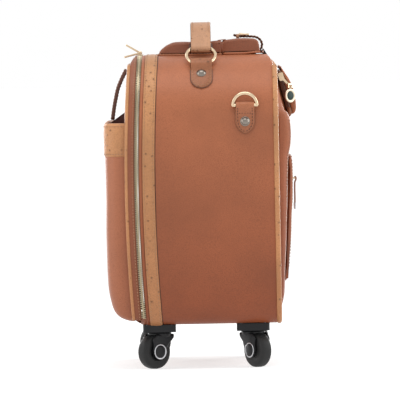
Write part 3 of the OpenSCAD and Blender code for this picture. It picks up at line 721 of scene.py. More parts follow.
s = Shape().grid([[(84.6 - 3.2 * slack(y, 140) * (0.35 + 0.65 * (z - 90) / 160) + wobble((0, y, z), 26, 0.6), y, z)
                   for y in np.linspace(-140, 140, 34)] for z in np.linspace(90, 250, 18)])
add("inner_pocket", s, M_LINING, "case", "lining_fabric", solid=0.8)
s = bar([[(85.0 - 3.6 * slack(y, 140) + dx, y, 250 + dz)
          for dx, dz in ((-0.9, -7), (-1.3, -3), (-1.0, 1.2), (1.0, 1.2), (1.2, -3), (0.9, -7))]
         for y in np.linspace(-140, 140, 40)])
add("inner_pocket_trim", s, M_DARK, "case", "dark_leather")

# Two packing straps across the compartment, crossed at a buckle
s = Shape()
for side in (-1, 1):
    line = curve([(83.2, side * 150, 110), (80.5, side * 120, 160), (79.6, side * 60, 205), (79.2, 0, 232)], 8)
    s.grid([[(x + dx, y + dy * side, z + dz)
             for dx, dy, dz in ((-0.9, -4, 9), (0.7, -4, 9), (0.7, 4, -9), (-0.9, 4, -9))]
            for x, y, z in line], wrap_v=True, cap=True)
add("packing_straps", s, M_TAPE, "case", bevel=0.3)
s = bar([[(77.0 - d, y, z) for y, z in rounded([(-w, 232 - h), (w, 232 - h), (w, 232 + h), (-w, 232 + h)], r)]
         for d, w, h, r in ((0, 17, 13, 6), (2.2, 17, 13, 6), (3.4, 15, 11, 5))])
add("packing_buckle", s, M_BLACK, "case", "black_plastic", bevel=0.4)

# Embossed band round the front edge of the case, stitched along both sides
BAND = [(-78.1, -0.1), (-78.3, 0.7), (-77.7, 1.35), (-75.5, 1.65), (-70, 2.0), (-64.8, 1.65), (-62.6, 1.25),
        (-61.8, 0.5), (-62, -0.1)]
add("front_band", rim(LOOP, BAND, uneven=0.25, seed=5.0), M_OSTRICH, "case", "embossed_leather", ["ostrich_band"])
s = Shape()
for x, g in ((-75.9, 1.6), (-64.1, 1.58)):
    stitches(s, [on_case(p, x, g) for p in LOOP + LOOP[:1]], [(0, p[2], p[3]) for p in LOOP + LOOP[:1]])
add("front_band_stitches", s, M_THREAD, "case")

# Band edges, the frame under the lining's edge, zip tapes and bindings
for name, line, section, material, body, slot, replaced in (
        ("front_band_edge", LOOP, [(-78.6, -0.4), (-78.7, 1.0), (-78.15, 1.25), (-77.9, 0.4)],
         M_TAB, "case", "dark_leather", ()),
        ("front_band_seam", LOOP, [(-61.9, -0.2), (-61.6, 0.5), (-61.0, 0.5), (-60.5, -0.2)],
         M_EDGE, "case", "dark_leather", ()),
        ("mouth_binding", LOOP, [(-77.4, -3.1), (-73.2, -3.1), (-72.6, -4.0), (-73.0, -6.0), (-76.6, -6.2),
                                 (-77.4, -5.4)], M_DARK, "case", "dark_leather", ["mouth_frame"]),
        ("body_zip_cloth", ZIPLINE, [(-83.6, -0.5), (-83.6, -1.5), (-77.5, -1.9), (-77.5, -0.9)],
         M_ZIP_TAPE, "case", "dark_leather", ["body_zip_tape"]),
        ("body_zip_binding", LOOP, [(-82.3, -0.7), (-82.6, 0.15), (-81.5, 0.75), (-79.4, 0.95), (-78.6, 0.5),
                                    (-78.6, -0.8)], M_LEATHER, "case", "leather", ()),
        ("door_zip_cloth", ZIPLINE, [(-90.8, -0.9), (-90.8, -1.9), (-88.5, -1.5), (-88.5, -0.5)],
         M_ZIP_TAPE, "door", "dark_leather", ["door_zip_tape"])):
    add(name, rim(line, section), material, body, slot, replaced)


def zip_teeth(x_root, x_tip, start, pitch=2.85):
    """Metal teeth along the main zip, each a block with a rounded head."""
    s = Shape()
    d = [p[4] for p in ZIPLINE]
    for at in np.arange(start, d[-1] - 1, pitch):
        p = [np.interp(at, d, axis) for axis in zip(*ZIPLINE)]
        root, tip = Vector(on_case(p, x_root, -0.6)), Vector(on_case(p, x_tip, -0.6))
        n = Vector((0, p[2], p[3])).normalized()
        out = (tip - root).normalized()
        n = (n - out * n.dot(out)).normalized()
        length = (tip - root).length
        s.block(root + out * length * 0.42, (out, n, out.cross(n)), (length * 0.84, 2.0, 1.2))
        s.block(tip - out * 0.75, (out, n, out.cross(n)), (1.5, 2.5, 1.35))
    return s


add("body_zip_teeth", zip_teeth(-82.9, -87.1, 1.0), M_BRASS, "case", "gold_metal", ["body_zip_chain"], crisp=True)
add("door_zip_teeth", zip_teeth(-89.1, -84.9, 2.42), M_BRASS, "door", "gold_metal", ["door_zip_chain"], crisp=True)

# Leather stops folded round the lower corners at both ends of the zip
for side, label in ((-1, "near"), (1, "far")):
    corner = [(side * y, FOOT, 0, -1, 0) for y in (160, 168)]
    corner += [(side * (CORNER + RB * math.sin(a)), LOW - RB * math.cos(a), side * math.sin(a), -math.cos(a), 0)
               for a in np.linspace(0, 0.95, 12)]
    s = rim(corner, [(-90.6, -1.0), (-90.6, -2.6), (-78.4, -2.6), (-78.4, -0.5), (-84, -0.2)])
    add(label + "_zip_stop", s, M_GUSSET, "case", "leather")

# ---- Door ----
s = rim(ARCH, [(-90.0, -2.5), (-89.5, -0.9), (-89.7, 0.05), (-90.9, 0.55), (-94, 0.8), (-96.6, 0.4), (-98.2, -0.2),
               (-98.4, -2.6)], uneven=0.3, seed=2.0)
add("door_edge", s, M_GUSSET, "door", "leather", ["door_gusset"])
s = stitches(Shape(), [on_case(p, -91.5, 0.6) for p in ARCH], [(0, p[2], p[3]) for p in ARCH], lift=0.05)
add("door_edge_stitches", s, M_THREAD, "door")
cord = [(-99.5 + 2.35 * math.cos(a), -1.3 + 2.35 * math.sin(a)) for a in round_turn(12)]
s = rim(ARCH, cord, anchor=(-99.5, -1.3))
add("door_cord_piping", s, M_OSTRICH, "door", "embossed_leather", ["door_piping"])


def door_sheet(x, g, zs, puff, seed=4.0):
    """A padded sheet of the door at depth x, its outline grown by g."""
    rows = []
    for z in zs:
        a = half_width(z, g)
        row = []
        for y in np.linspace(-a, a, 44):
            edge = min(1.0, (a - abs(y)) / 30, (z - 64) / 30, (404 - z) / 25)
            k = puff * max(0.0, edge) ** 0.5 + wobble((0, y, z), 60, 0.5, seed)
            row.append((x + lean(z) - k, y, z))
        rows.append(row)
    return Shape().grid(rows)


s = door_sheet(-99.3, -3.2, np.linspace(66.4, 403.2, 50), 1.1)
add("door_face", s, M_POCKET, "door", "leather", ["door_panel"], solid=-2.2)
s = door_sheet(-92.6, -4.2, np.linspace(67, 402, 40), 0.4, seed=9.0)
add("door_lining", s, M_LINING, "door", "lining_fabric", solid=0.6)
s = Shape().grid([[(-91.6 + lean(z) + 3.0 * slack(y, 150) * (0.3 + 0.7 * (z - 92) / 134)
                    + wobble((0, y, z), 24, 0.4, 7.0), y, z) for y in np.linspace(-150, 150, 40)]
                  for z in np.linspace(92, 226, 16)])
add("door_inner_pocket", s, M_LINING, "door", "lining_fabric", solid=0.8)

# Slip pocket: a bag with round corners, sagging onto its foot
POCKET_FRONT, POCKET_HALF, POCKET_BEND = -125.2, 188.0, 24.0
POCKET_LINE = curve([(-126.0, 327), (-126.0, 312), (-125.6, 298), (-125.2, 284), (-125.0, 229), (-125.2, 160),
                     (-125.0, 134), (-123.8, 108), (-121.6, 94), (-118.4, 81), (-112.4, 72.5), (-101, 67.4),
                     (-92, 66.6)], 7)


def pocket_ring(front, half, root):
    """Plan (x, y) of the slip pocket from the door round both corners."""
    r = max(1.0, min(POCKET_BEND, (root - front) * 0.85))
    pts = [(root, -half)]
    pts += [(front + r + (root - front - r) * (1 - k), -half) for k in (0.35, 0.7)]
    pts += [(front + r - r * math.sin(a), -half + r - r * math.cos(a)) for a in np.linspace(0, math.pi / 2, 9)]
    pts += [(front, y) for y in np.linspace(-half + r, half - r, 36)[1:-1]]
    return pts + [(x, -y) for x, y in reversed(pts[:12])]


rows = []
for x, z in POCKET_LINE:
    half = min(POCKET_HALF, half_width(z, -6.5)) - 4.0 * max(0.0, (110 - z) / 44) ** 2
    root = -99.0 + lean(z)
    line = []
    for px, py in pocket_ring(min(x, root - 0.8), half, root):
        corner = max(0.0, 1 - abs(abs(py) - (half - 12)) / 26) * max(0.0, math.sin(math.pi * (z - 66) / 262))
        w = wobble((px, py, z), 55, 1.0, 6.0) * min(1.0, (328 - z) / 40) * min(1.0, (root - px) / 10)
        line.append((max(-126.3, px - w - 0.5 * corner), py + (-1 if py > 0 else 1) * abs(w) * 0.5, z))
    rows.append(line)
add("slip_pocket", Shape().grid(rows), M_POCKET, "door", "leather", ["front_pocket"], solid=-2.2, sub=1)
ring = []
for x, y in pocket_ring(POCKET_FRONT, POCKET_HALF, -99.0):
    middle = POCKET_HALF - POCKET_BEND
    d = Vector((x - max(POCKET_FRONT + POCKET_BEND, x), y - max(-middle, min(middle, y)), 0))
    ring.append((x, y, d.normalized() if d.length > 2 else Vector((0, -1 if y < 0 else 1, 0))))
CUT = [(0.4, 284.4), (2.3, 284.2), (3.3, 286.5), (3.8, 296), (3.9, 306), (3.8, 318), (3.4, 325.6), (2.2, 328.4),
       (-0.4, 328.9), (-2.0, 327.6), (-2.4, 324), (-2.2, 318), (0.2, 316)]
s = bar([[(x + n.x * g + (lean(z) if x > -100 else 0), y + n.y * g, z) for g, z in CUT] for x, y, n in ring])
add("pocket_top_band", s, M_OSTRICH, "door", "embossed_leather", ["pocket_band"])
s = Shape()
for z in (287.6, 324.4):
    stitches(s, [Vector((x, y, z)) + n * 3.6 for x, y, n in ring], [n for _x, _y, n in ring])
add("pocket_band_stitches", s, M_THREAD, "door")

# Folded gussets between the pocket's mouth and the door
for side, label in ((-1, "near"), (1, "far")):
    rows = []
    for u in np.linspace(0, 1, 12):
        fold = 5.5 * math.sin(math.pi * u)
        rows.append([(-122.4 + u * 28.6, side * (170.0 - fold * (0.25 + 0.75 * v)), 297.0 + (29.0 + u * 20.5) * v)
                     for v in np.linspace(0, 1, 8)])
    s = Shape().grid(rows)
    area = 0.0
    for f in s.f:
        a, b, c, d = (Vector(s.v[i]) for i in f)
        area += geometry.area_tri(a, b, c) + geometry.area_tri(a, c, d)
    piece = add(label + "_pocket_gusset", s, M_LINING, "door", "lining_fabric",
                ["pocket_gussets"] if side < 0 else ())


# ---- Straps ----
def strap(line, width, t, place, crown=0.2):
    """A flat strap t thick along a 2-D line, its edges rounded. Its width may be a list, and place(u, a, b)
    gives the 3-D point u across the strap from (a, b)."""
    widths = width if hasattr(width, "__len__") else [width] * len(line)
    rows = []
    for (a, b), n, w in zip(line, normals2(line, closed=False), widths):
        h, t2 = w / 2, t / 2
        e = h - min(0.5, h * 0.5)
        rows.append([place(u, a + n[0] * k, b + n[1] * k) for u, k in (
            (-e, -t2), (0, -t2 - crown), (e, -t2), (h, -t2 + 0.5), (h, t2 - 0.5), (e, t2), (0, t2 + crown),
            (-e, t2), (-h, t2 - 0.5), (-h, -t2 + 0.5))])
    return Shape().grid(rows, cap=True)


def strap_stitches(line, width, t, inset):
    s, out = Shape(), normals2(line, closed=False)
    for face in (-1, 1):
        for y in (-width / 2 + inset, width / 2 - inset):
            stitches(s, [(x + n[0] * face * (t / 2 + 0.12), y, z + n[1] * face * (t / 2 + 0.12))
                         for (x, z), n in zip(line, out)], [(n[0] * face, 0, n[1] * face) for n in out])
    return s


def across_y(u, x, z):
    return x, u, z


line = curve([(-98.4, 399.3), (-104.8, 387), (-110.4, 373.5), (-113.6, 360), (-116.2, 346.7), (-118.4, 331.5)], 5)
o = add("closure_leather", strap(line, 36, 4.4, across_y, 0.25), M_LEATHER, "closure", "dark_leather",
        ["closure_strap"])
second(o, M_EDGE, lambda c: abs(c.y) > 17.5)
add("closure_stitches", strap_stitches(line, 36, 4.4, 3.0), M_THREAD, "closure")

# Leather strip that joins the door to the case along the hinge line
section = rounded([(-72, 60.0), (-79, 60.2), (-86, 61.6), (-92.5, 66.4), (-92.5, 67.8), (-85.4, 63.2), (-79, 61.8),
                   (-72, 61.4)], 1.0, 3)
s = bar([[(x, y, z) for x, z in section] for y in np.linspace(-168, 168, 40)])
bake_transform(add("hinge_strip", s, M_LEATHER, None, "leather"))

# ---- Materials of the CAD nodes that stay ----
for name, material, bevel in (
        ("base_board", M_BLACK, 0.3), ("caster_housings", M_BLACK, 0.8), ("caster_screws", M_STEEL, 0.3),
        ("trolley_bezel", M_BLACK, 0.25), ("trolley_grip", M_BLACK, 0.9), ("trolley_button", M_STEEL, 0.4),
        ("trolley_outer_tubes", M_ALU, 0.0), ("trolley_middle_tubes", M_ALU, 0.0),
        ("trolley_inner_tubes", M_ALU, 0.0), ("handle_rings", M_GOLD, 0.0), ("near_ring", M_GOLD, 0.0),
        ("far_ring", M_GOLD, 0.0), ("near_slider", M_GOLD, 0.35), ("far_slider", M_GOLD, 0.35),
        ("near_pull", M_GOLD, 0.3), ("far_pull", M_GOLD, 0.3), ("visor_slider", M_GOLD, 0.35),
        ("pocket_slider", M_GOLD, 0.3)):
    dress(name, material, bevel)
for name, grow in (("near_ring", 0.5), ("far_ring", 0.5), ("handle_rings", 0.25), ("near_pull", 0.5),
                   ("far_pull", 0.5)):
    worn = nodes[name].modifiers.new("cast_thickness", "DISPLACE")
    worn.mid_level = 0
    worn.strength = grow * MM

# ---- Underside skid ----
section = rounded([(-5.8, 59), (-5.8, 57.2), (7.8, 57.2), (7.8, 59)], 1.2, 4)
s = bar([[(x, y, z) for x, z in section] for y in (-60, -58, -50, 0, 50, 58, 60)])
add("skid_strip", s, M_DARK, "case", "dark_leather", ["base_skid"])


# ---- Hood: padded front, bridge, and the flap over the top opening ----
def dent(x, *creases):
    """Depth at x of soft creases, each (depth, middle, width)."""
    return sum(depth * math.exp(-((x - middle) / width) ** 2) for depth, middle, width in creases)


def inward(y, amount):
    """How y moves where an end wall, beyond 100 mm from the middle, is pushed in by amount."""
    return amount if y < -100 else -amount if y > 100 else 0


def hem(path, section, flip=1, lift=0.0):
    """Rows of a strip sewn along a plan line: the section is (outward, z) pairs. Its back end is lifted."""
    return [[(x + flip * n[0] * g, y + flip * n[1] * g, z + lift * clamp((x - 60) / 20)) for g, z in section]
            for (x, y), n in zip(path, normals2(path, closed=False))]


hood = rounded([(-53, 417.3), (-53.8, 421), (-50.6, 425), (-44, 430.2), (-34, 434.8), (-20, 435.2), (8, 435.0),
                (22, 435.8), (31, 436.4), (31, 417.3)], [1.5, 2, 2.5, 3, 4, 8, 8, 6, 1.0, 0.5], 4)
s = bar(pillow_y(resample(hood, 3.2), 112, 4.0, crown=0.25, uneven=0.5, seed=2.5))
for i, (x, y, z) in enumerate(s.v):
    crease = dent(x, (0.9, -13, 2.2), (0.7, 18, 2.0)) * (1 if z > 420 else 0)
    s.v[i] = (min(x, 31.1), y + inward(y, crease), z - crease * 0.5)
add("hood_pad", s, M_HOOD_SHADED, "case", "leather", ["hood_base"])
path = curve(both_ways([(31, -113.0), (-40, -113.0), (-50, -112.6), (-54.2, -108), (-54.6, -96), (-54.6, 0)]), 6)
s = bar(hem(path, ((-1.2, 417.1), (1.4, 417.15), (1.7, 418.0), (1.3, 418.9), (-1.2, 419.2)), -1))
add("hood_hem", s, M_LEATHER, "case", "leather")
s = stitches(Shape(), [row[0] for row in hem(path, ((0.5, 419.1),), -1)],
             [(-n[0] * 0.3, -n[1] * 0.3, 1) for n in normals2(path, closed=False)])
add("hood_hem_stitches", s, M_THREAD, "case")

flap = [(31.6, 419.0), (31.6, 433.6), (33.2, 436.4), (42, 437.4), (54, 438.7), (68, 438.6), (76.4, 437.8),
        (80.6, 434.6), (81.7, 427), (81.9, 422.6), (83.2, 421.2), (86, 420.9), (86, 419.5), (82, 418.9)]
flap = resample(rounded(flap, [1, 1, 2, 5, 6, 5, 3, 3, 3, 2, 1, 0.5, 0.5, 1], 4, closed=False), 2.6, closed=False)
s = Shape().grid(pillow_y(flap, 112, 3.0, crown=0.2, uneven=0.4, seed=4.5), cap=True)
for i, (x, y, z) in enumerate(s.v):
    sag = dent(x, (0.8, 33.5, 2.0), (0.5, 70, 3.0))
    s.v[i] = (max(31.5, x), y + inward(y, sag), max(z - 0.3 * sag, 418.8))
lined(add("hood_top_flap", s, M_HOOD_SHADED, "top_flap", "leather", ["hood_flap"], solid=2.4, shell=True))
path = curve(both_ways([(33, -113.0), (74, -113.0), (82, -112.4), (86.0, -108), (86.4, -98), (86.4, 0)]), 6)
facing = 1 if normals2(path, closed=False)[len(path) // 2][0] > 0 else -1
s = bar(hem(path, ((-2.2, 417.35), (0.3, 417.3), (0.7, 418.6), (0.3, 420.2), (-2.2, 420.4)), facing, 1.4))
add("hood_flap_hem", s, M_LEATHER, "top_flap", "leather")

# Leather walls behind the joint of the hood and its flap
s = Shape()
for side in (-1, 1):
    s.block((33, side * 110.2, 426), ((1, 0, 0), (0, 1, 0), (0, 0, 1)), (13, 1.2, 17.4))
add("hood_joint_walls", s, M_HOOD_SHADED, "case", "leather")

# Leather hinge between the fixed hood and its flap
section = rounded([(26, 436.0), (31.2, 436.4), (37, 437.0), (37, 438.0), (31.2, 437.5), (26, 436.9)], 0.8, 3)
s = bar([[(x, y, z) for x, z in section] for y in np.linspace(-108, 108, 30)])
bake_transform(add("hood_hinge_strip", s, M_HOOD_SHADED, None, "leather"))

# Piped rim of the top opening
path = rounded([(36.4, -98.6), (76.6, -98.6), (76.6, 98.6), (36.4, 98.6)], 3, 4)
s = hoop([[(x + n[0] * g, y + n[1] * g, z)
           for g, z in ((-0.8, 413.8), (1.4, 413.8), (1.6, 417.3), (0.4, 418.1), (-0.8, 417.4))]
          for (x, y), n in zip(path, normals2(path))])
add("top_opening_binding", s, M_DARK, "case", "dark_leather")

# Belt and buckle
belt = curve([(47.6, 443.8), (53, 441.6), (62, 441.3), (74, 440.8), (79.4, 439.5), (83.4, 436.6), (86.0, 431.6),
              (85.6, 426.6), (83.6, 423.4), (81.4, 422.6)], 2.2)
o = add("belt_leather", strap(belt, 22, 2.2, across_y, 0.25), M_STRAP, "top_flap", "embossed_leather",
        ["belt_strap"])
second(o, M_EDGE, lambda c: abs(c.y) > 10.6)
add("belt_stitches", strap_stitches(belt, 22, 2.2, 2.6), M_THREAD, "top_flap")
frame = resample(rounded([(55.6, -14.4), (68.4, -14.4), (68.4, 14.4), (55.6, 14.4)], 4, 6), 1.6)
s = Shape().tube([(x, y, 443.9) for x, y in frame], 1.25, 10, closed=True)
s.tube([(62, -14, 443.3), (62, 14, 443.3)], 0.9, 10)
s.tube(curve([(62, 0, 444.0), (59.5, 0, 444.9), (56.5, 0, 445.1), (54.8, 0, 444.6)], 1.2), 0.85, 8)
add("buckle", s, M_GOLD, "top_flap", "gold_metal", ["belt_buckle"])
keeper = resample(rounded([(-12.2, 439.9), (12.2, 439.9), (12.2, 443.6), (-12.2, 443.6)], 1.2, 4), 1.4)
s = Shape().grid([[(x, y, z) for x in (51.2, 55.4)] for y, z in keeper], wrap_u=True)
add("belt_keeper", s, M_STRAP, "top_flap", "embossed_leather", solid=-1.0)

# ---- Carry handle ----
RING_TILT = math.radians(50.8)
along_ring = (math.sin(RING_TILT), math.cos(RING_TILT))
SX, SW = 3.0, 27.0


def shoulder(r, angle):
    """The point (y, z) at distance r from the middle of the case's round top corner, angle degrees up."""
    a = math.radians(angle)
    return (-WIDE - r * math.cos(a), HIGH + r * math.sin(a))


def off(p, along, out_by):
    """The point moved along the ring's plane and out of it."""
    return (p[0] + along_ring[0] * along - along_ring[1] * out_by,
            p[1] + along_ring[1] * along + along_ring[0] * out_by)


ring_foot = shoulder(85.9, 52.4)
ring_head = off(ring_foot, 38, 0)
half = [(-126.6, 445.2), (-130.6, 440.0), (-134.8, 435.2), off(ring_head, 1.0, -4.4), off(ring_head, -2.4, -4.9),
        off(ring_head, -6.2, -4.0), off(ring_head, -8.8, 0.0), off(ring_head, -6.4, 4.0), off(ring_head, -2.6, 5.0),
        (-144.2, 434.8), (-139.0, 439.6), (-131.4, 446.9), (-122.0, 454.2), (-110.0, 458.9), (-96, 460.1),
        (-60, 460.2), (0, 460.3)]
full = curve(both_ways(half, -1, 1), 2.6)
o = add("carry_strap_outer", strap(full, SW, 2.2, lambda u, y, z: (SX + u, y, z)), M_STRAP, "handle",
        "embossed_leather", ["carry_strap"])
second(o, M_EDGE, lambda c: abs(c.x - SX) > SW / 2 - 0.35)
half = [(-128.6, 446.0), (-121.0, 452.0), (-109.6, 456.5), (-96, 457.8), (-60, 457.9), (0, 458.0)]
o = add("carry_strap_inner", strap(curve(both_ways(half, -1, 1), 4), SW - 0.6, 2.1, lambda u, y, z: (SX + u, y, z)),
        M_STRAP, "handle", "embossed_leather")
second(o, M_EDGE, lambda c: abs(c.x - SX) > SW / 2 - 0.6)

# Stitches along its edges where it shows, and across it where it is sewn back on itself
s = Shape()
out = normals2(full, closed=False)
shown = [i for i, p in enumerate(full) if p[1] > 437.5 and (abs(p[0]) > 136 or p[1] > 446.4)]
for run in np.split(shown, np.flatnonzero(np.diff(shown) > 1) + 1):
    if len(run) < 4:
        continue
    for x in (SX - SW / 2 + 3.0, SX + SW / 2 - 3.0):
        for face in (1, -1):
            if sum(out[i][1] * face for i in run) > 0:
                stitches(s, [(x, full[i][0] + out[i][0] * face * 1.2, full[i][1] + out[i][1] * face * 1.2)
                             for i in run], [(0, out[i][0] * face, out[i][1] * face) for i in run])
for y, z in ((-138.6, 440.8), (-141.2, 438.3)):
    stitches(s, [(SX + u, y, z) for u in np.linspace(-SW / 2 + 3, SW / 2 - 3, 12)], (0, 0.7, 0.72), lift=0.2)
add("carry_strap_stitches", s, M_THREAD, "handle")


def tab(name, replaced, sign, x0, line, widths, t, material, seam, thread, edge, rows=()):
    """A leather tab about x0 along a (y, z) line: the strap, its stitches and its painted edge. A seam is
    (inset, rise, start, end) and an edge is (end, radius, material)."""
    def place(u, y, z):
        return (x0 + u, y * sign, z)

    def border(inset, start, end, rise=0.0):
        half = [(-max(0.0, w / 2 - inset), y + n[0] * rise, z + n[1] * rise, n)
                for (y, z), n, w, d in zip(line, out, widths, lengths(line)) if start < d < end]
        return [(-u, y, z, n) for u, y, z, n in reversed(half)] + half

    out = normals2(line, closed=False)
    add(name, strap(line, widths, t, place), material, "case", "embossed_leather", [replaced] if sign > 0 else ())
    inset, rise, start, end = seam
    n = border(inset, start, end)[0][3]
    face = 1 if n[1] > n[0] else -1
    sewn = border(inset, start, end, rise * face)
    s = stitches(Shape(), [place(u, y, z) for u, y, z, _n in sewn],
                 [(0, n[0] * face * sign, n[1] * face) for _u, _y, _z, n in sewn])
    for row in rows:
        stitches(s, *row)
    add(name + "_stitches", s, thread, "case")
    end, r, material = edge
    path = resample([place(u, y, z) for u, y, z, _n in border(0.1, -1, end)], 1.6, closed=False)
    add(name + "_edge", Shape().tube(path, r, 8), material, "case")


TAB_WIDTH, SIDE_TAB_X, SIDE_TAB_WIDTH = 28.5, 60.0, 24.5
DOME = [(0.0, 4.3), (1.2, 4.2), (2.5, 3.8), (3.8, 3.0), (4.8, 2.0), (5.5, 1.0), (5.9, 0.8), (6.3, 0.7), (6.6, 0.3),
        (6.4, -0.2)]
for sign, label in ((1, "near"), (-1, "far")):
    loop = [shoulder(83.6, 47.2), off(ring_foot, -1.6, 3.5), off(ring_foot, 1.6, 4.1), off(ring_foot, 5.4, 4.0),
            off(ring_foot, 8.6, 3.0), off(ring_foot, 10.4, 0.4), off(ring_foot, 8.8, -2.8),
            off(ring_foot, 5.0, -3.9), off(ring_foot, 0.6, -4.0), shoulder(80.9, 50)]
    line = curve([shoulder(81.9, a) for a in np.linspace(27.0, 44.5, 14)] + loop, 1.7)
    r = TAB_WIDTH / 2
    w = [TAB_WIDTH if d > r else max(1.5, 2 * math.sqrt(max(0.0, r ** 2 - (r - d) ** 2))) for d in lengths(line)]
    tab(label + "_handle_tab", "handle_tabs", sign, SX, line, w, 2.2, M_TAB, (2.6, 1.25, 2.6, 29), M_THREAD,
        (30, 0.95, M_DARK))
    # dark patch on the hood behind the ring: painted shadow under the strap's loop
    section = rounded([(-13, 418.6), (19, 418.6), (19, 433.2), (-13, 433.2)], 3, 5)
    s = bar([[(x, sign * y, z) for x, z in section] for y in (-111.5, -112.9, -113.2)])
    add(label + "_handle_shadow_patch", s, M_EDGE, "case", "dark_leather")

    # side tab folded over the bar of its ring
    line = curve([(-201.9, 313), (-202.0, 325), (-202.2, 336), (-204.4, 342.4), (-207.4, 346.4), (-208.4, 350),
                  (-207.4, 352.7), (-205, 353.6), (-202.5, 352.5), (-201.6, 349.6), (-201.5, 344)], 1.3)
    w = [SIDE_TAB_WIDTH if d > 15 else max(1.5, SIDE_TAB_WIDTH * math.sin(math.pi / 2 * (d / 15)) ** 0.62)
         for d in lengths(line)]
    fold = ([(x, -sign * 204.0, 339.4) for x in np.linspace(51, 69, 10)], (0, -sign, 0.35), 3.4, 2.2, 0.5)
    tab(label + "_side_tab", "side_tabs", sign, SIDE_TAB_X, line, w, 2.1, M_SIDE_TAB, (2.5, 1.15, 2.4, 37), M_EDGE,
        (36, 0.9, M_TAB), [fold])
    # rivets
    s = Shape().lathe((SIDE_TAB_X, sign * -203.0, 328.5), (0, -sign, 0), DOME, 40)
    y, z = shoulder(83.1, 43)
    a = math.radians(43)
    s.lathe((SX, sign * y, z), (0, -sign * math.cos(a), math.sin(a)), DOME, 40)
    add(label + "_rivets", s, M_RIVET_DARKENED, "case", "gold_metal", ["tab_rivets"] if sign > 0 else ())

# ---- Back ----
CORD_X, CORD_INSET, CORD_HALF_DEPTH, CORD_HALF_HEIGHT = 100.8, 2.4, 3.65, 3.4
rows = []
for y, z, ny, nz, _run in LOOP:
    low = z - CORD_INSET * nz
    x0 = CORD_X
    if z > 400 and nz > 0.5:
        x0 = min(x0, BACK_EDGE + 3.0 + (EDGE_TOP - low) * 0.6203)
    low = min(low, slope_top(x0) - 3.6 * clamp((nz - 0.5) * 2))
    row = []
    for a in round_turn(14):
        g = CORD_HALF_HEIGHT * math.sin(a)
        row.append((x0 + CORD_HALF_DEPTH * math.cos(a), y + (g - CORD_INSET) * ny, low + g * nz))
    rows.append(row)
s = without(hoop(rows), (80.0, 120.0, 98.4, 380.0))
add("back_cord_piping", s, M_OSTRICH, "case", "embossed_leather", ["back_piping"])
rows = []
for z in [62.6, 66, 74, *np.linspace(84, 385, 42), 388, 392, 396, 399, 402]:
    a = half_width(z, -3.4)
    rows.append([(104.0 + 0.5 * math.sin(math.pi * clamp((a - abs(y)) / 60) / 2) - (1.0 if a - abs(y) < 3 else 0)
                  + wobble((0, y, z), 70, 0.35, 3.3) - max(0.0, (z - 392) * 0.6), y, z)
                 for y in np.linspace(-a, a, 50)])
s = without(Shape().grid(rows), (95, 120, 98.2, 383.5))
add("back_panel", s, M_LEATHER, "case", "dark_leather", ["back_board"], solid=1.8)

hump = [(104.6, 80), (106.4, 86.5), (108.4, 96), (109.6, 112), (112.6, 170), (116.9, 281), (120.0, 294),
        (121.4, 308), (120.8, 326), (119.1, 336), (112.1, 363.6), (105.2, 391)]
hump = resample(rounded(hump, 7, 4, closed=False), 5, closed=False)
ends = [152.2, 155.4, 158.2, 160.4, 161.4, 161.5]
rows = []
for y in [*(-y for y in reversed(ends)), *np.linspace(-148, 148, 43), *ends]:
    edge = min(1.0, (161.5 - abs(y)) / 11)
    swell = math.sqrt(1 - (1 - edge) ** 2)
    notch = clamp((abs(y) - 123.5) / 1.5)
    row = []
    for x, z in hump:
        bulge = wobble((x, y, z), 45, 0.6, 6.1) * min(1.0, (z - 80) / 20)
        if not (112 < z < 281 and abs(y) < 131):
            bulge += 0.5 * math.sin(math.pi * clamp((z - 80) / 200)) * math.cos(math.pi * y / 330)
        x = 104.4 + max(0.0, x - 104.4 + bulge) * swell
        row.append((max(104.4, x - 5.0 * notch * clamp((z - 337) / 4)), y, z))
    rows.append(row)
s = without(Shape().grid(rows), (0, 200, 117, 340))
lined(add("back_padded_pocket", s, M_LEATHER, "case", "leather", ["back_pocket_body"], solid=2.0,
                    shell=True))
face = [(110.2, 112.2), (112.8, 116), (116.2, 136), (118, 156), (119.5, 183), (120.2, 203), (122, 223), (122.6, 249),
        (122.7, 267), (121.8, 281), (116.95, 281), (109.0, 111.7)]
low = resample(rounded(face, [1.5, 4, 10, 10, 10, 10, 10, 10, 6, 2, 1, 1], 4), 4.5)
s = bar(pillow_y(low, 130, 5.0, step=8, uneven=0.7, seed=7.7))
for i, (x, y, z) in enumerate(s.v):
    if abs(y) < 106 and x > 118:
        s.v[i] = (x - dent(z, (0.9, 249, 2.6)), y, z)
add("lower_padded_pocket", s, M_LEATHER, "case", "leather", ["lower_back_pocket"])


def face_x(z, profile=tuple(face[:10])):
    return float(np.interp(z, [p[1] for p in profile], [p[0] for p in profile]))


HUMP_SIDE = ((106.4, 88), (108.8, 110), (116.8, 281), (120, 295), (121.2, 308), (120.6, 326), (119, 336))
s = Shape()
for z in (114.5, 278.6):
    stitches(s, [(face_x(z) + 0.35, y, z) for y in np.linspace(-124, 124, 60)], (1, 0, 0))
for sy in (-1, 1):
    stitches(s, [(face_x(z) - 0.1, sy * 126.6, z) for z in np.linspace(118, 276, 60)], (0.9, sy * 0.4, 0))
for sy in (-1, 1):
    stitches(s, [(face_x(z, HUMP_SIDE) - 0.5, sy * 156.0, z) for z in np.linspace(92, 330, 80)], (0.8, sy * 0.5, 0))
add("back_stitches", s, M_THREAD, "case")

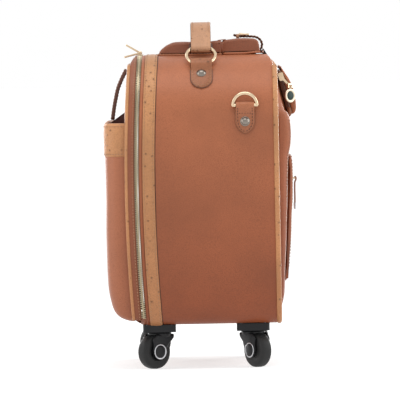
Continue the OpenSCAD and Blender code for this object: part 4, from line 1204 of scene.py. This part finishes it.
# Zip of the lower pocket, and its leather pull with a metal end
s = Shape().grid([[(x, y, z) for y in (-107, -106, 106, 107)] for x, z in (
    (121.4, 244.6), (122.2, 245), (122.35, 248.2), (122.35, 249.8), (122.2, 253), (121.4, 253.4))])
add("pocket_zip_cloth", s, M_TAPE, "case", solid=-0.5)
s = Shape()
for i in range(198):
    s.block((122.5, -104 + i * 1.05, 249 + (0.7 if i % 2 else -0.7)), ((0, 0, 1), (1, 0, 0), (0, 1, 0)),
            (2.6, 1.0, 0.8))
add("pocket_zip_teeth", s, M_BRASS, "case", "gold_metal", ["lower_pocket_zip"], crisp=True)
line = curve([(126.8, 250.2), (128.9, 248.6), (128.5, 245.6), (127.2, 242.6), (126.9, 236), (126.8, 214)], 2.0)
w = 2.9
section = ((-w, -0.9), (0, -1.1), (w, -0.9), (w + 0.3, 0), (w, 0.9), (0, 1.1), (-w, 0.9), (-w - 0.3, 0))
s = bar([[(x + n[0] * k, u, z + n[1] * k) for u, k in section]
         for (x, z), n in zip(line, normals2(line, closed=False))])
add("pocket_pull_leather", s, M_TAB, "back_zip_pull", "dark_leather", ["pocket_pull"])
plan = rounded([(-1.7, -3.4), (1.7, -3.4), (1.7, 3.4), (-1.7, 3.4)], 1.0, 4)
s = bar([[(126.8 + x * k, y * k, z) for x, y in plan]
         for z, k in ((205.8, 0.7), (206.4, 0.95), (214.0, 1.0), (214.8, 0.85))])
add("pocket_pull_end", s, M_STEEL, "back_zip_pull", "gold_metal")

# Visor: a padded lip over the passport pocket
lip = [(107.6, 397.4), (107.5, 401.4), (108.6, 401.6), (115, 391.8), (121.6, 381.4), (125.8, 371), (128.2, 361),
       (129.2, 350), (129.2, 342.4), (127.2, 337.4), (123.2, 335.6), (122.4, 338.6)]
lip = resample(rounded(lip, [0, 1.5, 2, 9, 9, 9, 9, 8, 5, 3, 1.4, 0], 4, closed=False), 2.6, closed=False)
s = Shape().grid(pillow_y(lip, 125, 1.6, step=7, uneven=0.35, seed=8.8), cap=True)
lined(add("visor_lip", s, M_LEATHER, "visor", "leather", ["visor_flap"], solid=2.2, shell=True))
s = stitches(Shape(), [(126.6, y, 340.0) for y in np.linspace(-118, 118, 50)], (0.5, 0, -1), lift=-1.2)
for sy in (-1, 1):
    stitches(s, [(x - 2.4, sy * 125.2, z - 1.2) for x, z in lip if 341 < z < 396], (0, sy, 0), lift=-0.1)
add("visor_stitches", s, M_THREAD, "visor")
run = np.array([120.9 - 106.4, 337.4 - 394.8])
run = run / np.linalg.norm(run)
side = np.array([-run[1], run[0]])
s = Shape()
for sy in (-1, 1):
    rows = []
    for k in np.linspace(0, 1, 20):
        c = np.array([106.6, 394.4]) * (1 - k) + np.array([120.4, 338.6]) * k
        rows.append([(c[0] + side[0] * g, sy * y, c[1] + side[1] * g) for g, y in (
            (-3.0, 125.2), (-2.6, 126.4), (2.4, 126.4), (2.9, 125.2), (2.9, 117), (-3.0, 117))])
    s.grid(rows, wrap_v=True, cap=True)
s.grid([[(x, y, z) for x, z in ((117.4, 340.8), (120.4, 337.4), (121.6, 337.6), (119.4, 341.2))]
        for y in np.linspace(-118, 118, 12)], wrap_v=True, cap=True)
add("visor_zip_cloth", s, M_DARK, "case", "lining_fabric", ["visor_zip_tape"])
s = Shape()
for sy in (-1, 1):
    for k in np.linspace(0, 1, 27):
        c = np.array([107.2, 391.6]) * (1 - k) + np.array([119.8, 342.4]) * k
        for g, shift in ((-0.6, -0.5), (0.6, 0.5)):
            q = c + side * g + run * shift
            s.block((q[0], sy * 126.7, q[1]), ((side[0], 0, side[1]), (0, 1, 0), (run[0], 0, run[1])),
                    (2.2, 0.8, 0.75))
add("visor_zip_teeth", s, M_DARK, "case", crisp=True)
section = rounded([(117.8, 346), (122.3, 344.6), (123.3, 336.6), (120.2, 332.2), (117.2, 336)], 1.6, 4)
for sy, label in ((-1, "near"), (1, "far")):
    s = bar([[(x, sy * y, z) for x, z in section] for y in (124.4, 127.0, 127.5)])
    add(label + "_visor_zip_end", s, M_TAB, "case", "leather")

# Round pull of the visor's zip
a = math.radians(43)
MC, MN, up = Vector((121.3, -135.4, 361)), Vector((math.sin(a), -math.cos(a), 0)), Vector((0, 0, 1))
s = Shape().lathe(MC, MN, [(0.0, -1.3), (8.6, -1.3), (9.3, -0.7), (9.5, 0.2), (9.2, 1.0), (8.2, 1.5), (7.0, 1.4),
                           (6.3, 0.9), (6.0, 0.5), (0.0, 0.5)], 64)
s.tube([MC + up * (11.5 + math.cos(a) * 1.75) + MN * math.sin(a) * 1.75 for a in round_turn(20)], 0.8, 10,
       closed=True)
s.block(MC + up * 9.3, (Vector((math.cos(a), math.sin(a), 0)), MN, up), (3.4, 1.8, 2.2))
add("round_pull", s, M_CREAM, "medallion", "gold_metal", ["visor_medallion"])
s = Shape().lathe(MC, MN, [(0.0, 1.15), (3.0, 1.1), (5.2, 0.85), (6.0, 0.55), (6.0, 0.2)])
add("round_pull_centre", s, M_ENAMEL, "medallion")

# ---- Casters ----
tyre = [(11.6, 8.0), (12.6, 8.3), (19.2, 8.3), (21.2, 7.6), (22.5, 6.0), (22.95, 3.5), (23.0, 0)]
tyre = both_ways(tyre) + [(11.4, -6.4), (11.4, 6.4)]
arm = [(-20.4, 25.0), (-19.2, 30.6), (-21.2, 39.0), (-14.4, 46.3), (14.4, 46.3), (15.2, 41.5), (9.6, 36.4),
       (3.2, 30.2), (0.4, 24.4), (-0.9, 17.9), (-4.6, 13.8), (-10, 12.6), (-15.6, 13.9), (-19.4, 18.2)]
arm = turned(resample(rounded(arm, [5, 4, 5, 1, 1, 5, 5, 5, 5, 4, 4, 4, 4, 5], 4), 1.6))
for label, cx, cy, yaw in (("front_near", -59.3, -160, 39), ("front_far", -59.3, 160, 39),
                           ("back_near", 65.8, -160, 123.5), ("back_far", 65.8, 160, 123.5)):
    a = math.radians(yaw)
    lx, ly = Vector((math.cos(a), math.sin(a), 0)), Vector((-math.sin(a), math.cos(a), 0))
    foot = Vector((cx, cy, 0))
    hub = foot - lx * 10 + up * 23
    # tyre with rounded shoulders, hub with ribs
    add(label + "_tyre", Shape().lathe(hub, ly, tyre, 72), M_RUBBER, label + "_roller", "tyre", [label + "_wheel"])
    s = Shape()
    for k in (-1, 1):
        s.lathe(hub, ly * k, [(3.1, 8.2), (5.4, 8.2), (6.0, 7.6), (6.2, 6.6), (10.6, 6.6), (11.4, 7.6), (12.4, 8.1),
                              (12.4, 5.6), (3.1, 5.6)])
        for b in round_turn(8):
            d = lx * math.cos(b) + up * math.sin(b)
            s.block(hub + ly * k * 6.9 + d * 8.4, (d, ly, d.cross(ly)), (5.4, 1.2, 1.2))
    add(label + "_hub", s, M_BLACK, label + "_roller", "tyre")
    # swivel fork: crown, bearing cup and two swept arms
    s = Shape().lathe(foot + up * 46.4, up, [(0, -4.5), (13.4, -4.5), (15.4, -3.2), (15.7, 0), (15.5, 1.6),
                                             (14.6, 2.2), (0, 2.2)])
    s.tube([foot + up * 44, foot + up * 56.6], 3.96, 20)
    for k in (-1, 1):
        s.grid([[foot + lx * (x - n[0] * inset) + ly * k * h + up * (z - n[1] * inset)
                 for (x, z), n in zip(arm, normals2(arm))]
                for h, inset in ((9.2, 0.4), (9.6, 0.0), (11.6, 0.0), (12.8, 0.5), (13.5, 1.4), (13.75, 2.8))],
               wrap_v=True, cap=True)
    s.tube([hub + ly * -13.0, hub + ly * 13.0], 2.96, 20)
    add(label + "_fork_body", s, M_BLACK, label + "_caster", "black_plastic", [label + "_fork"])
    s, c = Shape(), Shape()
    for k in (-1, 1):
        s.lathe(hub, ly * k, [(8.3, 13.5), (9.3, 14.1), (10.0, 14.0), (10.3, 13.4)])
        c.lathe(hub, ly * k, [(0.0, 14.6), (3.5, 14.5), (6.6, 14.2), (8.2, 13.7), (8.5, 13.2)])
    add(label + "_cap_ring", s, M_STEEL, label + "_caster", "steel")
    add(label + "_cap", c, M_BLACK, label + "_caster", "black_plastic")

# ---- Room ----
FLOOR_GREY = (0.46, 0.46, 0.46)
WHITE = (1, 1, 1)
k = Look("pale_floor", FLOOR_GREY, 0.9, Specular_IOR_Level=0.1, Emission_Color=WHITE, Emission_Strength=0.6)
k.finish(Base_Color=k.mix(k.noise(3, 2), (0.45, 0.45, 0.45), (0.48, 0.48, 0.48)))
s = Shape().grid([[(x, y, 0) for y in (-40, -0.8, 0, 0.8, 60)] for x in (-40, -0.8, 0, 0.8, 40)])
mesh = bpy.data.meshes.new("floor")
mesh.from_pydata(s.v, [], s.f)
mesh.materials.append(k.material)
link("floor", mesh)


def lamp(name, place, target, size, power):
    data = bpy.data.lights.new(name, "AREA")
    data.shape = "RECTANGLE"
    data.size, data.size_y = size
    data.energy = power
    obj = link(name, data)
    obj.location = place
    obj.rotation_mode = "QUATERNION"
    obj.rotation_quaternion = (Vector(target) - Vector(place)).to_track_quat("-Z", "Y")


world = bpy.data.worlds.new("studio")
world.use_nodes = True
background = world.node_tree.nodes["Background"]
background.inputs["Color"].default_value = (*WHITE, 1)
background.inputs["Strength"].default_value = 1.0
bpy.context.scene.world = world
bpy.context.scene.view_settings.view_transform = "Standard"
MIDDLE = (0, 0, 0.25)
lamp("top_light", (0.0, -0.5, 1.3), (0, -0.1, 0.3), (1.0, 0.6), 4)
lamp("left_light", (-1.7, -0.5, 0.75), MIDDLE, (0.8, 1.3), 5)
lamp("right_light", (1.7, -0.1, 0.75), MIDDLE, (0.8, 1.3), 9)
lamp("back_right_light", (1.3, 1.9, 0.7), MIDDLE, (0.8, 1.2), 24)
lamp("back_left_light", (-1.3, 1.9, 0.7), MIDDLE, (0.8, 1.2), 16)
